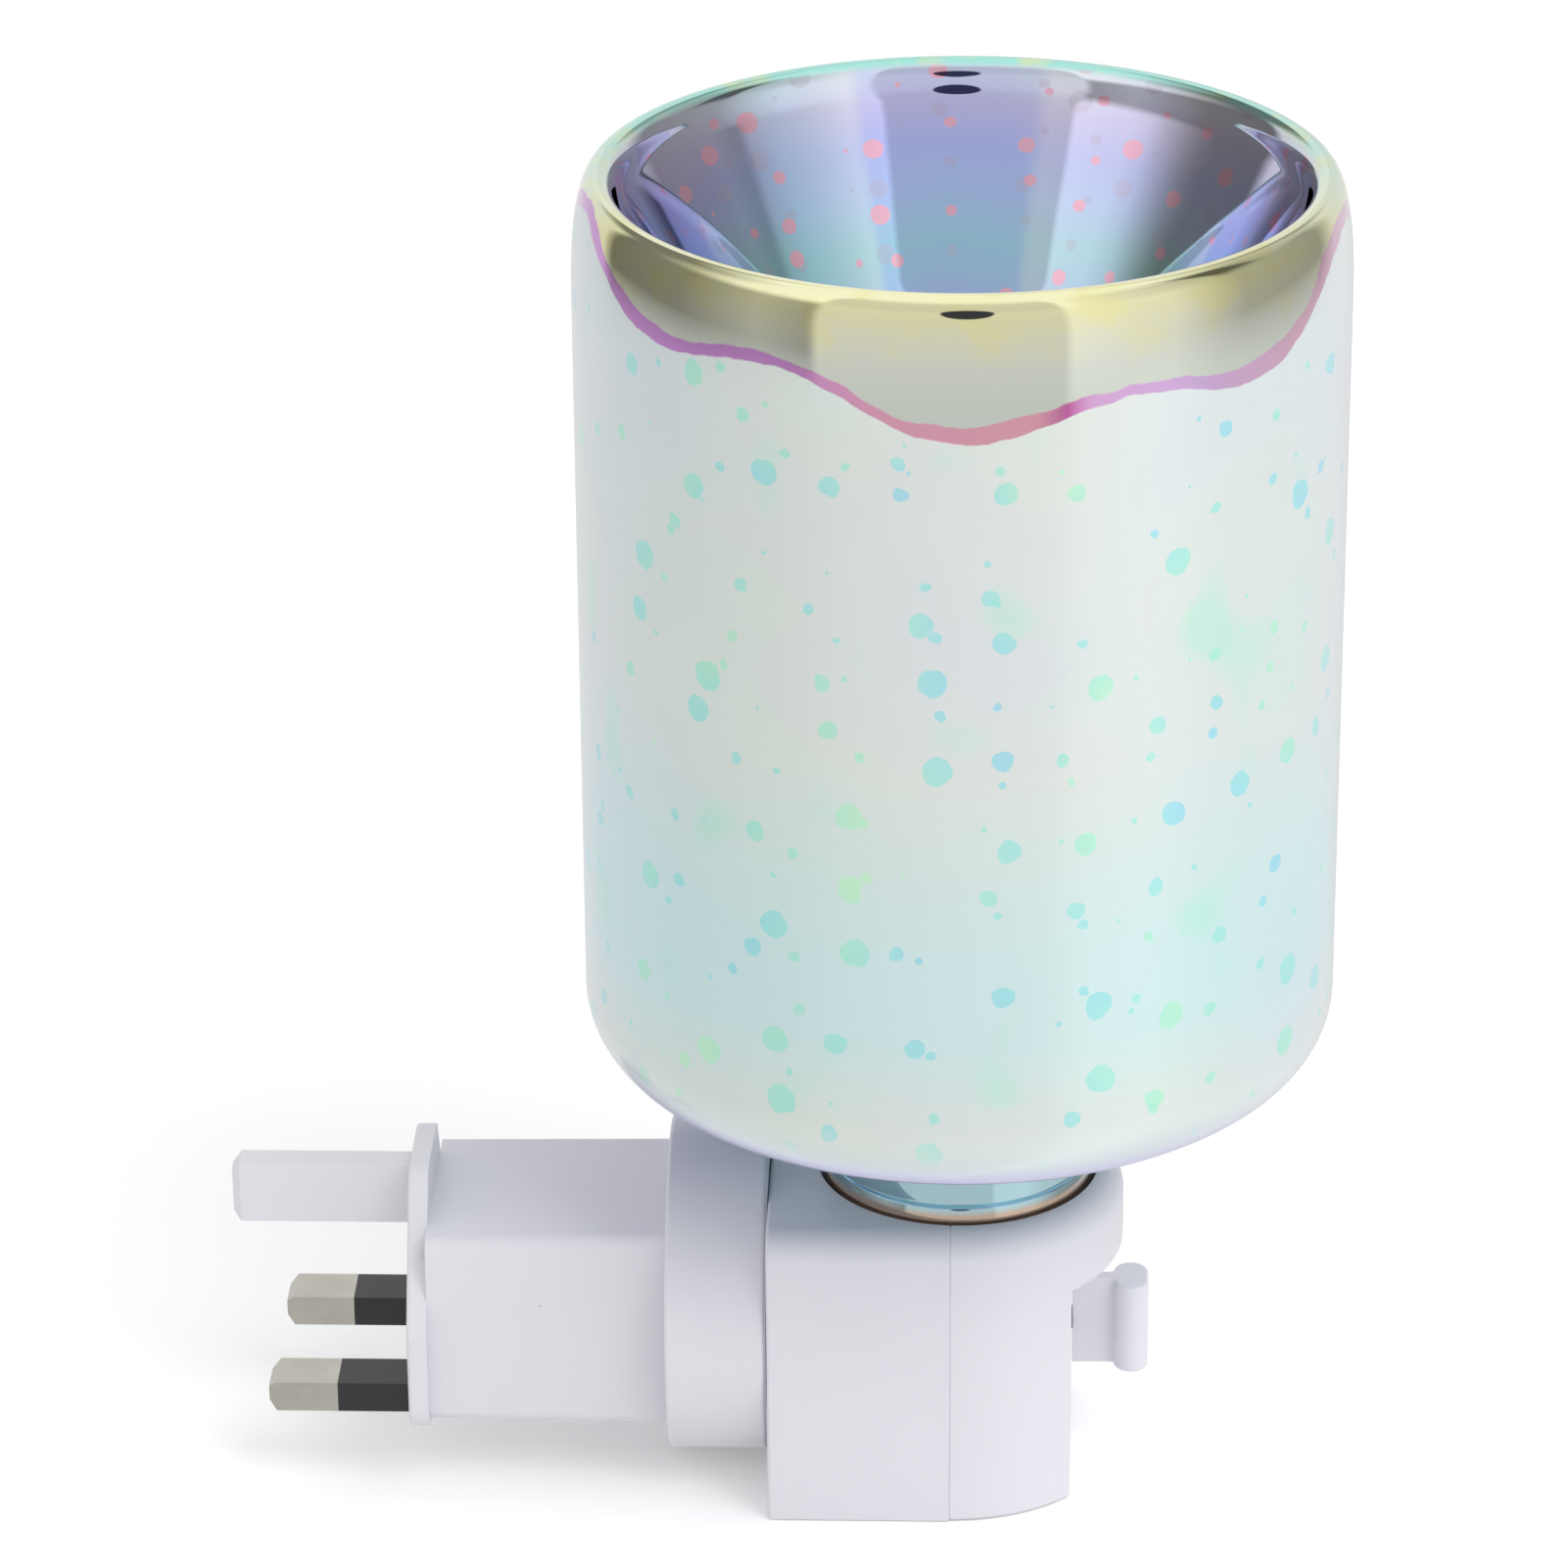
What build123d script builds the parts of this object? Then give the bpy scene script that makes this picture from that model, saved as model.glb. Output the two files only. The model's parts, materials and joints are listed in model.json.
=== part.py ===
from build123d import *
import os
from math import cos, radians, sin, tan

# A wax melt warmer that hangs on its own wall plug. The plug block carries a round swivel collar,
# the collar carries a two-part housing with the lampholder and a rotary switch, and a one-piece
# double-walled glass shade with a wax dish in its top stands in the housing's well over the lamp.
# Millimetres. The origin is the middle of the plug's face on the swivel axis, +Y points into the
# wall, -Y to the room and +Z up.

# Clearances shared by the pieces
overrun = 2.0
running_clearance = 0.08
seat_clearance = 0.1
screw_clearance = 0.1
swivel_gap = 0.3
brush_gap = 0.25

# Glass shade, measured down from the crest of its rim
shade_radius = 46.0
shade_height = 113.4
glass_wall = 1.8
crest_inset = 3.0
shoulder_drop = 14.0
shoulder_handle_share = 0.62
crest_handle_share = 0.65
throat_inset = 5.25
throat_drop = 2.2
throat_slope = 16.0
throat_handle_share = 0.5
knee_drop = 3.6
knee_radius = 9.0
dish_depth = 31.0
dish_slope = 28.0
dish_corner = 12.0
foot_corner = 9.5
neck_radius = 16.2
neck_fillet = 4.0
bead_radius = 17.0
bead_height = 4.6
rim_fill = 7.0
rim_tip_width = 1.2

# Housing, measured from the swivel axis and from its rear face
housing_half_width = 21.5
housing_top = 17.3
housing_bottom = 22.1
housing_wall = 2.0
rear_depth = 22.6
shade_axis_offset = 0.8
front_reach = 15.0
ledge_height = 6.5
ledge_fillet = 1.2
top_fillet = 3.4
edge_fillet = 0.5
parting_chamfer = 0.15
shade_standoff = 16.8
seat_depth = 2.5
seat_gap = 0.5
seat_floor = 2.0
shelf_thickness = 2.0
flange_thickness = 2.4

# Screws of the two shells, and the pegs that line them up
shell_boss_radius = 3.2
shell_boss_inset = 3.0
front_boss_length = 6.2
shell_screw_radius = 1.5
shell_head_radius = 2.6
shell_head_height = 2.0
shell_head_sink = 0.4
cross_slot_width = 0.7
cross_slot_depth = 0.9
peg_radius = 1.0
peg_length = 2.5
peg_side_inset = 2.3
peg_top_inset = 2.7

# Plug block, its face plate and its pins
plate_thickness = 2.5
plate_bottom_half_width = 16.5
plate_top_half_width = 7.0
plate_shoulder_drop = 18.0
plate_margin = 2.0
plate_corner = 3.0
plate_edge = 0.6
block_length = 29.8
block_wall_half_width = 14.65
block_wall_half_height = 12.65
block_collar_half_width = 13.7
block_collar_half_height = 13.5
block_wall = 2.0
block_corner = 1.6
block_boss_radius = 2.5
block_boss_x = 10.9
block_boss_z = 4.0
block_screw_radius = 1.3
block_head_radius = 2.4
block_head_height = 1.5
block_screw_length = 9.0
line_pin_width = 6.35
line_pin_thickness = 3.97
line_pin_length = 17.7
line_pin_spacing = 22.23
line_pin_drop = 9.4
line_root_length = 8.0
line_root_width = 2.4
line_root_thickness = 1.6
earth_pin_width = 3.97
earth_pin_height = 7.95
earth_pin_length = 22.7
earth_pin_rise = 22.23
pin_chamfer = 1.0
sleeve_length = 9.0
sleeve_thickness = 0.45

# Swivel collar, its hub and the slip rings that feed the housing
collar_inset = 0.5
collar_thickness = 12.3
collar_plate = 2.0
collar_wall = 2.0
collar_edge = 0.5
hub_radius = 7.0
hub_bore = 3.0
hub_end = 4.4
groove_depth = 0.9
groove_clearance = 0.2
retainer_overlap = 1.1
retainer_thickness = 1.0
retainer_opening = 60.0
carrier_thickness = 2.5
ring_thickness = 0.8
ring_width = 2.4
ring_inset = 2.6
ring_pitch = 3.9
tail_radius = 0.8
tail_angle = 55.0
lead_hole_side_inset = 2.1
lead_hole_bottom_inset = 3.5
brush_radius = 1.0
brush_hole_gap = 0.2
brush_angle = 20.0
leaf_width = 3.5
leaf_gap = 0.5
leaf_thickness = 0.3
leaf_overlap = 1.2

# Rotary switch and its paddle knob on the flat of the housing's front
knob_drop = 4.8
knob_height = 12.1
knob_reach = 9.8
knob_head_depth = 4.3
knob_head_width = 7.3
knob_web_thickness = 2.2
knob_gap = 0.3
knob_edge = 0.5
knob_crease = 0.7
spindle_radius = 1.5
spindle_depth = 5.0
tang_thickness = 1.0
tang_height = 3.0
tang_length = 3.0
switch_width = 14.0
switch_depth = 8.0
switch_height = 9.6
switch_tab_width = 3.0
switch_tab_length = 2.5
switch_tab_thickness = 0.8
switch_tab_x = 5.0

# Lampholder
holder_radius = 13.0
holder_base_radius = 11.8
holder_skirt = 1.8
holder_height = 27.0
holder_floor = 2.5
holder_below_top = 16.3
holder_flange = 2.4
sleeve_wall = 1.4
sleeve_drop = 2.0
screw_shell_radius = 7.6
screw_shell_wall = 0.5
screw_shell_height = 19.0
contact_width = 4.0
contact_thickness = 0.5
contact_rise = 1.6
rivet_radius = 0.9
terminal_size = 3.0
terminal_back = 6.0
terminal_x = 8.0

# Tubular lamp with a small screw cap
lamp_radius = 12.5
lamp_wall = 0.8
lamp_length = 84.0
lamp_shoulder_start = 30.0
lamp_glass_start = 17.0
cap_radius = 6.9
cap_wall = 0.35
cap_start = 3.4
cap_height = 16.0
thread_pitch = 2.82
thread_turns = 4
thread_depth = 0.55
tip_radius = 2.2
tip_height = 1.4
stem_radius = 1.6
stem_height = 30.0
stem_foot = 12.0
filament_radius = 0.35
filament_span = 7.0
filament_rise = 12.0
filament_legs = 5

# Insulated leads
lead_radius = 0.8
lead_bend = 2.4
lead_run = 5.5

# Planes and heights that follow from the sizes above
collar_y = -(plate_thickness + block_length)
collar_face_y = collar_y - collar_thickness
rear_y = collar_face_y - swivel_gap
rear_inner_y = rear_y - housing_wall
parting_y = rear_y - rear_depth
shade_y = parting_y - shade_axis_offset
front_y = parting_y - front_reach
front_inner_y = front_y + housing_wall
crest_z = housing_top + shade_standoff + shade_height
foot_z = housing_top + shade_standoff
seat_z = housing_top - seat_depth
seat_radius = bead_radius + seat_gap
ceiling_z = seat_z - seat_floor
flange_top_z = ceiling_z - seat_clearance
flange_z = flange_top_z - flange_thickness
shelf_z = flange_z - shelf_thickness
floor_z = -housing_bottom + housing_wall
inner_half_width = housing_half_width - housing_wall
crest_radius = shade_radius - crest_inset
throat_radius = shade_radius - throat_inset
collar_radius = housing_half_width - collar_inset
neutral_ring_radius = collar_radius - collar_wall - ring_inset
live_ring_radius = neutral_ring_radius - ring_pitch
shade_plane = Plane(origin=(0, shade_y, 0), x_dir=(1, 0, 0), z_dir=(0, -1, 0))
shade_axis = Axis((0, shade_y, 0), (0, 0, 1))
holder_hole_radius = holder_radius + seat_clearance

os.makedirs("parts", exist_ok=True)


def save(builder, name):
    """Labels a finished piece and writes it under its name."""
    builder.part.label = name
    export_step(builder.part, f"parts/{name}.step")


def wall_plane(y):
    """An upright plane facing the room at the given distance, with its own y as height."""
    return Plane(origin=(0, y, 0), x_dir=(1, 0, 0), z_dir=(0, -1, 0))


# Glass shade: the outer skin runs from the dish over the rim and down to the neck's bead
dish_z = crest_z - dish_depth
throat_z = crest_z - throat_drop
knee_z = crest_z - knee_drop
throat_lean = tan(radians(throat_slope))
dish_lean = tan(radians(dish_slope))
knee_from_axis = throat_radius - (throat_z - knee_z) * throat_lean
dish_floor_radius = knee_from_axis - (knee_z - dish_z) * dish_lean
throat_rise = throat_drop * throat_handle_share
shoulder_z = crest_z - shoulder_drop
shoulder_width = shade_radius - crest_radius
rim_z = crest_z - rim_fill
slant_wall = glass_wall / cos(radians(dish_slope))
rim_dish_radius = knee_from_axis - (knee_z - rim_z) * dish_lean + slant_wall
with BuildPart() as glass_shade:
    with BuildSketch(shade_plane):
        with BuildLine():
            FilletPolyline(
                (0, dish_z),
                (dish_floor_radius, dish_z),
                (knee_from_axis, knee_z),
                (throat_radius, throat_z),
                radius=[dish_corner, knee_radius],
            )
            Bezier(
                (throat_radius, throat_z),
                (throat_radius + throat_rise * throat_lean, throat_z + throat_rise),
                (crest_radius - (crest_radius - throat_radius) * crest_handle_share, crest_z),
                (crest_radius, crest_z),
            )
            Bezier(
                (crest_radius, crest_z),
                (crest_radius + shoulder_width * crest_handle_share, crest_z),
                (shade_radius, shoulder_z + shoulder_drop * shoulder_handle_share),
                (shade_radius, shoulder_z),
            )
            FilletPolyline(
                (shade_radius, shoulder_z),
                (shade_radius, foot_z),
                (neck_radius, foot_z),
                (neck_radius, seat_z + bead_height),
                radius=[foot_corner, neck_fillet],
            )
            Bezier(
                (neck_radius, seat_z + bead_height),
                (bead_radius, seat_z + bead_height),
                (bead_radius, seat_z + bead_height / 2),
                (bead_radius, seat_z + bead_height / 4),
            )
            Polyline(
                (bead_radius, seat_z + bead_height / 4),
                (neck_radius, seat_z),
                (0, seat_z),
                (0, dish_z),
            )
        make_face()
        with BuildLine():
            FilletPolyline(
                (0, dish_z - glass_wall),
                (dish_floor_radius + slant_wall - glass_wall * dish_lean, dish_z - glass_wall),
                (rim_dish_radius, rim_z),
                radius=dish_corner + glass_wall,
            )
            Bezier(
                (rim_dish_radius, rim_z),
                (rim_dish_radius, rim_z + rim_tip_width),
                (shade_radius - glass_wall, rim_z + rim_tip_width),
                (shade_radius - glass_wall, rim_z - rim_tip_width),
            )
            FilletPolyline(
                (shade_radius - glass_wall, rim_z - rim_tip_width),
                (shade_radius - glass_wall, foot_z + glass_wall),
                (neck_radius - glass_wall, foot_z + glass_wall),
                (neck_radius - glass_wall, seat_z - overrun),
                radius=[foot_corner - glass_wall, neck_fillet + glass_wall],
            )
            Polyline(
                (neck_radius - glass_wall, seat_z - overrun),
                (0, seat_z - overrun),
                (0, dish_z - glass_wall),
            )
        make_face(mode=Mode.SUBTRACT)
    revolve(axis=shade_axis)
save(glass_shade, "glass_shade")

# Housing: the rear shell is square, open at the parting plane
housing_height = housing_top + housing_bottom
housing_middle = (housing_top - housing_bottom) / 2
screw_x = inner_half_width - shell_boss_inset
screw_z = floor_z + shell_boss_inset
screw_places = [(-screw_x, screw_z), (screw_x, screw_z)]
head_seat_y = rear_y - shell_head_sink - shell_head_height
peg_x = housing_half_width - peg_side_inset
peg_z = housing_top - peg_top_inset
peg_places = [(-peg_x, peg_z), (peg_x, peg_z)]


def polar(radius, angle):
    """A place on a circle about the swivel axis, as width and height."""
    return (radius * cos(radians(angle)), radius * sin(radians(angle)))


brush_places = {
    "live": polar(live_ring_radius, -brush_angle),
    "neutral": polar(neutral_ring_radius, 180 + brush_angle),
}

with BuildPart() as rear_shell:
    with BuildSketch(wall_plane(rear_y)):
        with Locations((0, housing_middle)):
            Rectangle(2 * housing_half_width, housing_height)
    extrude(amount=rear_depth)
    side_edges = rear_shell.edges().filter_by(Axis.Y)
    fillet(side_edges.group_by(Axis.Z)[-1], radius=top_fillet)
    fillet(rear_shell.faces().sort_by(Axis.Y)[-1].edges(), radius=edge_fillet)
    chamfer(rear_shell.faces().sort_by(Axis.Y)[0].edges(), length=parting_chamfer)
    with BuildSketch(wall_plane(rear_inner_y)):
        with Locations((0, (floor_z + shelf_z) / 2)):
            Rectangle(2 * inner_half_width, shelf_z - floor_z)
        with Locations((0, (flange_z + ceiling_z) / 2)):
            Rectangle(2 * inner_half_width, ceiling_z - flange_z)
    extrude(until=Until.LAST, mode=Mode.SUBTRACT)
    with BuildSketch(wall_plane(rear_inner_y)):
        with Locations(*screw_places):
            Circle(shell_boss_radius)
    extrude(amount=rear_depth - housing_wall)
    with BuildSketch(Plane.XY.offset(seat_z)):
        with Locations((0, shade_y)):
            Circle(seat_radius)
    extrude(amount=seat_depth + overrun, mode=Mode.SUBTRACT)
    with BuildSketch(Plane.XY.offset(seat_z)):
        with Locations((0, shade_y)):
            Circle(holder_hole_radius)
    extrude(amount=-(seat_z - shelf_z), mode=Mode.SUBTRACT)
    with BuildSketch(wall_plane(rear_y)):
        Circle(hub_radius + running_clearance)
        with Locations(*brush_places.values()):
            Circle(brush_radius + brush_hole_gap)
    extrude(amount=housing_wall, mode=Mode.SUBTRACT)
    with BuildSketch(wall_plane(rear_y)):
        with Locations(*screw_places):
            Circle(shell_screw_radius + screw_clearance)
    extrude(amount=rear_depth, mode=Mode.SUBTRACT)
    with BuildSketch(wall_plane(rear_y)):
        with Locations(*screw_places):
            Circle(shell_head_radius + screw_clearance)
    extrude(amount=rear_y - head_seat_y, mode=Mode.SUBTRACT)
    with BuildSketch(wall_plane(parting_y)):
        with Locations(*peg_places):
            Circle(peg_radius)
    extrude(amount=peg_length)
save(rear_shell, "rear_shell")


def half_round(radius, reach):
    """Half-round outline in front of the parting plane, cut off flat at the given reach."""
    with Locations((0, parting_y)):
        Circle(radius)
        Rectangle(2 * radius, reach, align=(Align.CENTER, Align.MAX), mode=Mode.INTERSECT)


# The front shell is half round, and its head overhangs its own flat front, which carries the switch
with BuildPart() as front_head:
    with BuildSketch(Plane.XY.offset(ledge_height)):
        half_round(housing_half_width, housing_half_width)
    extrude(amount=housing_top - ledge_height)
    head_rims = front_head.edges().filter_by(GeomType.CIRCLE).sort_by(Axis.Z)
    fillet(head_rims[0], radius=ledge_fillet)
    fillet(front_head.edges().filter_by(GeomType.CIRCLE).sort_by(Axis.Z)[-1], radius=top_fillet)

knob_z = -knob_drop
with BuildPart() as front_shell:
    with BuildSketch(Plane.XY.offset(-housing_bottom)):
        half_round(housing_half_width, front_reach)
    extrude(amount=housing_bottom + ledge_height + ledge_fillet)
    front_edges = front_shell.edges().filter_by(Axis.Z).group_by(Axis.Y)[0]
    bottom_edges = front_shell.faces().sort_by(Axis.Z)[0].edges().sort_by(Axis.Y)[:-1]
    fillet(front_edges + bottom_edges, radius=edge_fillet)
    add(front_head.part)
    chamfer(front_shell.faces().sort_by(Axis.Y)[-1].edges(), length=parting_chamfer)
    with BuildSketch(Plane.XY.offset(floor_z)):
        half_round(inner_half_width, front_reach - housing_wall)
    extrude(amount=shelf_z - floor_z, mode=Mode.SUBTRACT)
    with BuildSketch(Plane.XY.offset(flange_z)):
        half_round(inner_half_width, inner_half_width)
    extrude(amount=ceiling_z - flange_z, mode=Mode.SUBTRACT)
    with BuildSketch(wall_plane(parting_y)):
        with Locations(*screw_places):
            Circle(shell_boss_radius)
    extrude(amount=front_boss_length)
    with BuildSketch(wall_plane(parting_y)):
        with Locations(*screw_places):
            Circle(shell_screw_radius + screw_clearance)
    extrude(amount=front_boss_length, mode=Mode.SUBTRACT)
    with BuildSketch(wall_plane(parting_y)):
        with Locations(*peg_places):
            Circle(peg_radius + screw_clearance)
    extrude(amount=peg_length + screw_clearance, mode=Mode.SUBTRACT)
    with BuildSketch(Plane.XY.offset(seat_z)):
        with Locations((0, shade_y)):
            Circle(seat_radius)
    extrude(amount=seat_depth + overrun, mode=Mode.SUBTRACT)
    with BuildSketch(Plane.XY.offset(seat_z)):
        with Locations((0, shade_y)):
            Circle(holder_hole_radius)
    extrude(amount=-(seat_z - shelf_z), mode=Mode.SUBTRACT)
    with BuildSketch(wall_plane(front_inner_y)):
        with Locations((0, knob_z)):
            Circle(spindle_radius + running_clearance)
    extrude(amount=housing_wall, mode=Mode.SUBTRACT)
save(front_shell, "front_shell")

# The two screws that close the shells, from the rear face into the front bosses
with BuildPart() as shell_screws:
    with BuildSketch(wall_plane(rear_y - shell_head_sink)):
        with Locations(*screw_places):
            Circle(shell_head_radius)
    extrude(amount=shell_head_height)
    with BuildSketch(wall_plane(head_seat_y)):
        with Locations(*screw_places):
            Circle(shell_screw_radius)
    extrude(amount=head_seat_y - parting_y + front_boss_length)
    with BuildSketch(wall_plane(rear_y - shell_head_sink)):
        with Locations(*screw_places):
            Rectangle(2 * shell_screw_radius, cross_slot_width)
            Rectangle(cross_slot_width, 2 * shell_screw_radius)
    extrude(amount=cross_slot_depth, mode=Mode.SUBTRACT)
save(shell_screws, "shell_screws")

# Plug block: a tapered hollow block open at both ends, with two screw columns down its length
boss_places = [(-block_boss_x, block_boss_z), (block_boss_x, block_boss_z)]
wall_plan = wall_plane(-plate_thickness)
collar_plan = wall_plane(collar_y)
with BuildPart() as plug_body:
    with BuildSketch(wall_plan):
        RectangleRounded(2 * block_wall_half_width, 2 * block_wall_half_height, block_corner)
    with BuildSketch(collar_plan):
        RectangleRounded(2 * block_collar_half_width, 2 * block_collar_half_height, block_corner)
    loft()
    with BuildSketch(wall_plan):
        Rectangle(
            2 * (block_wall_half_width - block_wall), 2 * (block_wall_half_height - block_wall)
        )
    with BuildSketch(collar_plan):
        Rectangle(
            2 * (block_collar_half_width - block_wall), 2 * (block_collar_half_height - block_wall)
        )
    loft(mode=Mode.SUBTRACT)
    with BuildSketch(wall_plan):
        with Locations(*boss_places):
            Circle(block_boss_radius)
    extrude(amount=block_length)
    with BuildSketch(wall_plan):
        with Locations(*boss_places):
            Circle(block_screw_radius + screw_clearance)
    extrude(amount=block_length, mode=Mode.SUBTRACT)
save(plug_body, "plug_body")

# Face plate that lies on the socket, with the three pin slots
line_z = -line_pin_drop
earth_z = line_z + earth_pin_rise
plate_top = earth_z + earth_pin_height / 2 + plate_margin
plate_bottom = line_z - line_pin_thickness / 2 - plate_margin
line_places = {
    "live": (line_pin_spacing / 2, line_z),
    "neutral": (-line_pin_spacing / 2, line_z),
}
with BuildPart() as pin_plate:
    with BuildSketch(wall_plane(0)):
        with BuildLine():
            FilletPolyline(
                (-plate_bottom_half_width, plate_bottom),
                (-plate_bottom_half_width, plate_top - plate_shoulder_drop),
                (-plate_top_half_width, plate_top),
                (plate_top_half_width, plate_top),
                (plate_bottom_half_width, plate_top - plate_shoulder_drop),
                (plate_bottom_half_width, plate_bottom),
                radius=plate_corner,
                close=True,
            )
        make_face()
    extrude(amount=plate_thickness)
    fillet(pin_plate.faces().sort_by(Axis.Y)[-1].edges(), radius=plate_edge)
    with BuildSketch(wall_plane(0)):
        with Locations(*line_places.values()):
            Rectangle(line_pin_width, line_pin_thickness)
        with Locations((0, earth_z)):
            Rectangle(earth_pin_width, earth_pin_height)
        with Locations(*boss_places):
            Circle(block_screw_radius + screw_clearance)
    extrude(amount=plate_thickness, mode=Mode.SUBTRACT)
    with BuildSketch(wall_plane(0)):
        with Locations(*boss_places):
            Circle(block_head_radius + screw_clearance)
    extrude(amount=block_head_height, mode=Mode.SUBTRACT)
save(pin_plate, "pin_plate")


def pin(place, width, height, length):
    """A flat pin with a chamfered nose, from its tip to the plate's back."""
    with BuildPart() as blade:
        with BuildSketch(wall_plane(length)):
            with Locations(place):
                Rectangle(width, height)
        extrude(amount=length + plate_thickness)
        chamfer(blade.faces().sort_by(Axis.Y)[-1].edges(), length=pin_chamfer)
    return blade


# Line pins: each has a sleeved half next to the plate and a narrow root inside the block
for name, place in line_places.items():
    with BuildPart() as pin_sleeve:
        with BuildSketch(wall_plane(sleeve_length)):
            with Locations(place):
                Rectangle(line_pin_width, line_pin_thickness)
                Rectangle(
                    line_pin_width - 2 * sleeve_thickness,
                    line_pin_thickness - 2 * sleeve_thickness,
                    mode=Mode.SUBTRACT,
                )
        extrude(amount=sleeve_length)
    save(pin_sleeve, f"{name}_pin_sleeve")
    blade = pin(place, line_pin_width, line_pin_thickness, line_pin_length)
    with BuildPart() as line_pin:
        add(blade.part)
        add(pin_sleeve.part, mode=Mode.SUBTRACT)
        with BuildSketch(wall_plane(-plate_thickness)):
            with Locations(place):
                Rectangle(line_root_width, line_root_thickness)
        extrude(amount=line_root_length)
    save(line_pin, f"{name}_pin")

earth_pin = pin((0, earth_z), earth_pin_width, earth_pin_height, earth_pin_length)
save(earth_pin, "earth_pin")


def block_screws(y, towards):
    """Two cross-head screws in the block's columns, from their head face towards -Y or +Y."""
    with BuildPart() as pair:
        with BuildSketch(wall_plane(y)):
            with Locations(*boss_places):
                Circle(block_head_radius)
        extrude(amount=towards * block_head_height)
        with BuildSketch(wall_plane(y)):
            with Locations(*boss_places):
                Circle(block_screw_radius)
        extrude(amount=towards * block_screw_length)
        with BuildSketch(wall_plane(y)):
            with Locations(*boss_places):
                Rectangle(2 * block_screw_radius, cross_slot_width)
                Rectangle(cross_slot_width, 2 * block_screw_radius)
        extrude(amount=towards * cross_slot_depth, mode=Mode.SUBTRACT)
    return pair


save(block_screws(0, 1), "plate_screws")
save(block_screws(collar_y - collar_plate - block_head_height, -1), "collar_screws")

# Swivel collar: an open drum with a plate against the block and a hub through the rear shell
tail_places = {
    "live": polar(live_ring_radius, -tail_angle),
    "neutral": polar(neutral_ring_radius, 180 + tail_angle),
}
lead_hole_x = block_collar_half_width - block_wall - lead_hole_side_inset
lead_hole_z = lead_hole_bottom_inset - (block_collar_half_height - block_wall)
lead_holes = {"live": (lead_hole_x, lead_hole_z), "neutral": (-lead_hole_x, lead_hole_z)}
hub_y = rear_inner_y - hub_end
groove_y = rear_inner_y - swivel_gap
carrier_y = collar_face_y + carrier_thickness
with BuildPart() as swivel_collar:
    with BuildSketch(collar_plan):
        Circle(collar_radius)
    extrude(amount=collar_thickness)
    fillet(swivel_collar.edges().filter_by(GeomType.CIRCLE), radius=collar_edge)
    with BuildSketch(wall_plane(collar_y - collar_plate)):
        Circle(collar_radius - collar_wall)
    extrude(amount=collar_thickness - collar_plate, mode=Mode.SUBTRACT)
    with BuildSketch(collar_plan):
        Circle(hub_radius)
    extrude(amount=collar_y - hub_y)
    with BuildSketch(wall_plane(groove_y)):
        Circle(hub_radius)
        Circle(hub_radius - groove_depth, mode=Mode.SUBTRACT)
    extrude(amount=retainer_thickness + groove_clearance, mode=Mode.SUBTRACT)
    with BuildSketch(wall_plane(collar_y - collar_plate)):
        Circle(hub_bore)
    extrude(until=Until.LAST, mode=Mode.SUBTRACT)
    with BuildSketch(collar_plan):
        with Locations(*lead_holes.values()):
            Circle(lead_radius + screw_clearance)
        with Locations(*boss_places):
            Circle(block_screw_radius + screw_clearance)
    extrude(amount=collar_plate, mode=Mode.SUBTRACT)
save(swivel_collar, "swivel_collar")

# Retaining clip in the hub's groove, small enough to turn under the shelf
retainer_radius = hub_radius + retainer_overlap
with BuildPart() as swivel_retainer:
    with BuildSketch(wall_plane(groove_y - groove_clearance / 2)):
        Circle(retainer_radius)
        Circle(hub_radius - groove_depth + running_clearance, mode=Mode.SUBTRACT)
        with BuildLine():
            Polyline(
                (0, 0),
                polar(2 * retainer_radius, 90 - retainer_opening / 2),
                polar(2 * retainer_radius, 90 + retainer_opening / 2),
                close=True,
            )
        make_face(mode=Mode.SUBTRACT)
    extrude(amount=retainer_thickness)
save(swivel_retainer, "swivel_retainer")

# Carrier disc that closes the drum, with a groove and a tail hole for each slip ring
ring_radii = {"live": live_ring_radius, "neutral": neutral_ring_radius}
with BuildPart() as slip_ring_carrier:
    with BuildSketch(wall_plane(carrier_y)):
        Circle(collar_radius - collar_wall)
        Circle(hub_radius, mode=Mode.SUBTRACT)
        with Locations(*tail_places.values()):
            Circle(tail_radius, mode=Mode.SUBTRACT)
    extrude(amount=carrier_thickness)
    for ring_radius in ring_radii.values():
        with BuildSketch(wall_plane(collar_face_y + ring_thickness)):
            Circle(ring_radius + ring_width / 2)
            Circle(ring_radius - ring_width / 2, mode=Mode.SUBTRACT)
        extrude(amount=ring_thickness, mode=Mode.SUBTRACT)
save(slip_ring_carrier, "slip_ring_carrier")

for name, ring_radius in ring_radii.items():
    with BuildPart() as slip_ring:
        with BuildSketch(wall_plane(collar_face_y + ring_thickness)):
            Circle(ring_radius + ring_width / 2)
            Circle(ring_radius - ring_width / 2, mode=Mode.SUBTRACT)
        extrude(amount=ring_thickness)
        with BuildSketch(wall_plane(carrier_y)):
            with Locations(tail_places[name]):
                Circle(tail_radius)
        extrude(amount=carrier_thickness - ring_thickness)
    save(slip_ring, f"{name}_slip_ring")

# Brushes: a leaf on the rear shell's inside with a button through the wall to its ring
leaf_bottom_z = screw_z + shell_boss_radius + leaf_gap
for name, (x, z) in brush_places.items():
    with BuildPart() as brush:
        with BuildSketch(wall_plane(collar_face_y - brush_gap)):
            with Locations((x, z)):
                Circle(brush_radius)
        extrude(amount=collar_face_y - brush_gap - rear_inner_y)
        with BuildSketch(wall_plane(rear_inner_y)):
            with Locations((x, leaf_bottom_z)):
                Rectangle(
                    leaf_width,
                    z + leaf_overlap - leaf_bottom_z,
                    align=(Align.CENTER, Align.MIN),
                )
        extrude(amount=leaf_thickness)
    save(brush, f"{name}_brush")

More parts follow.
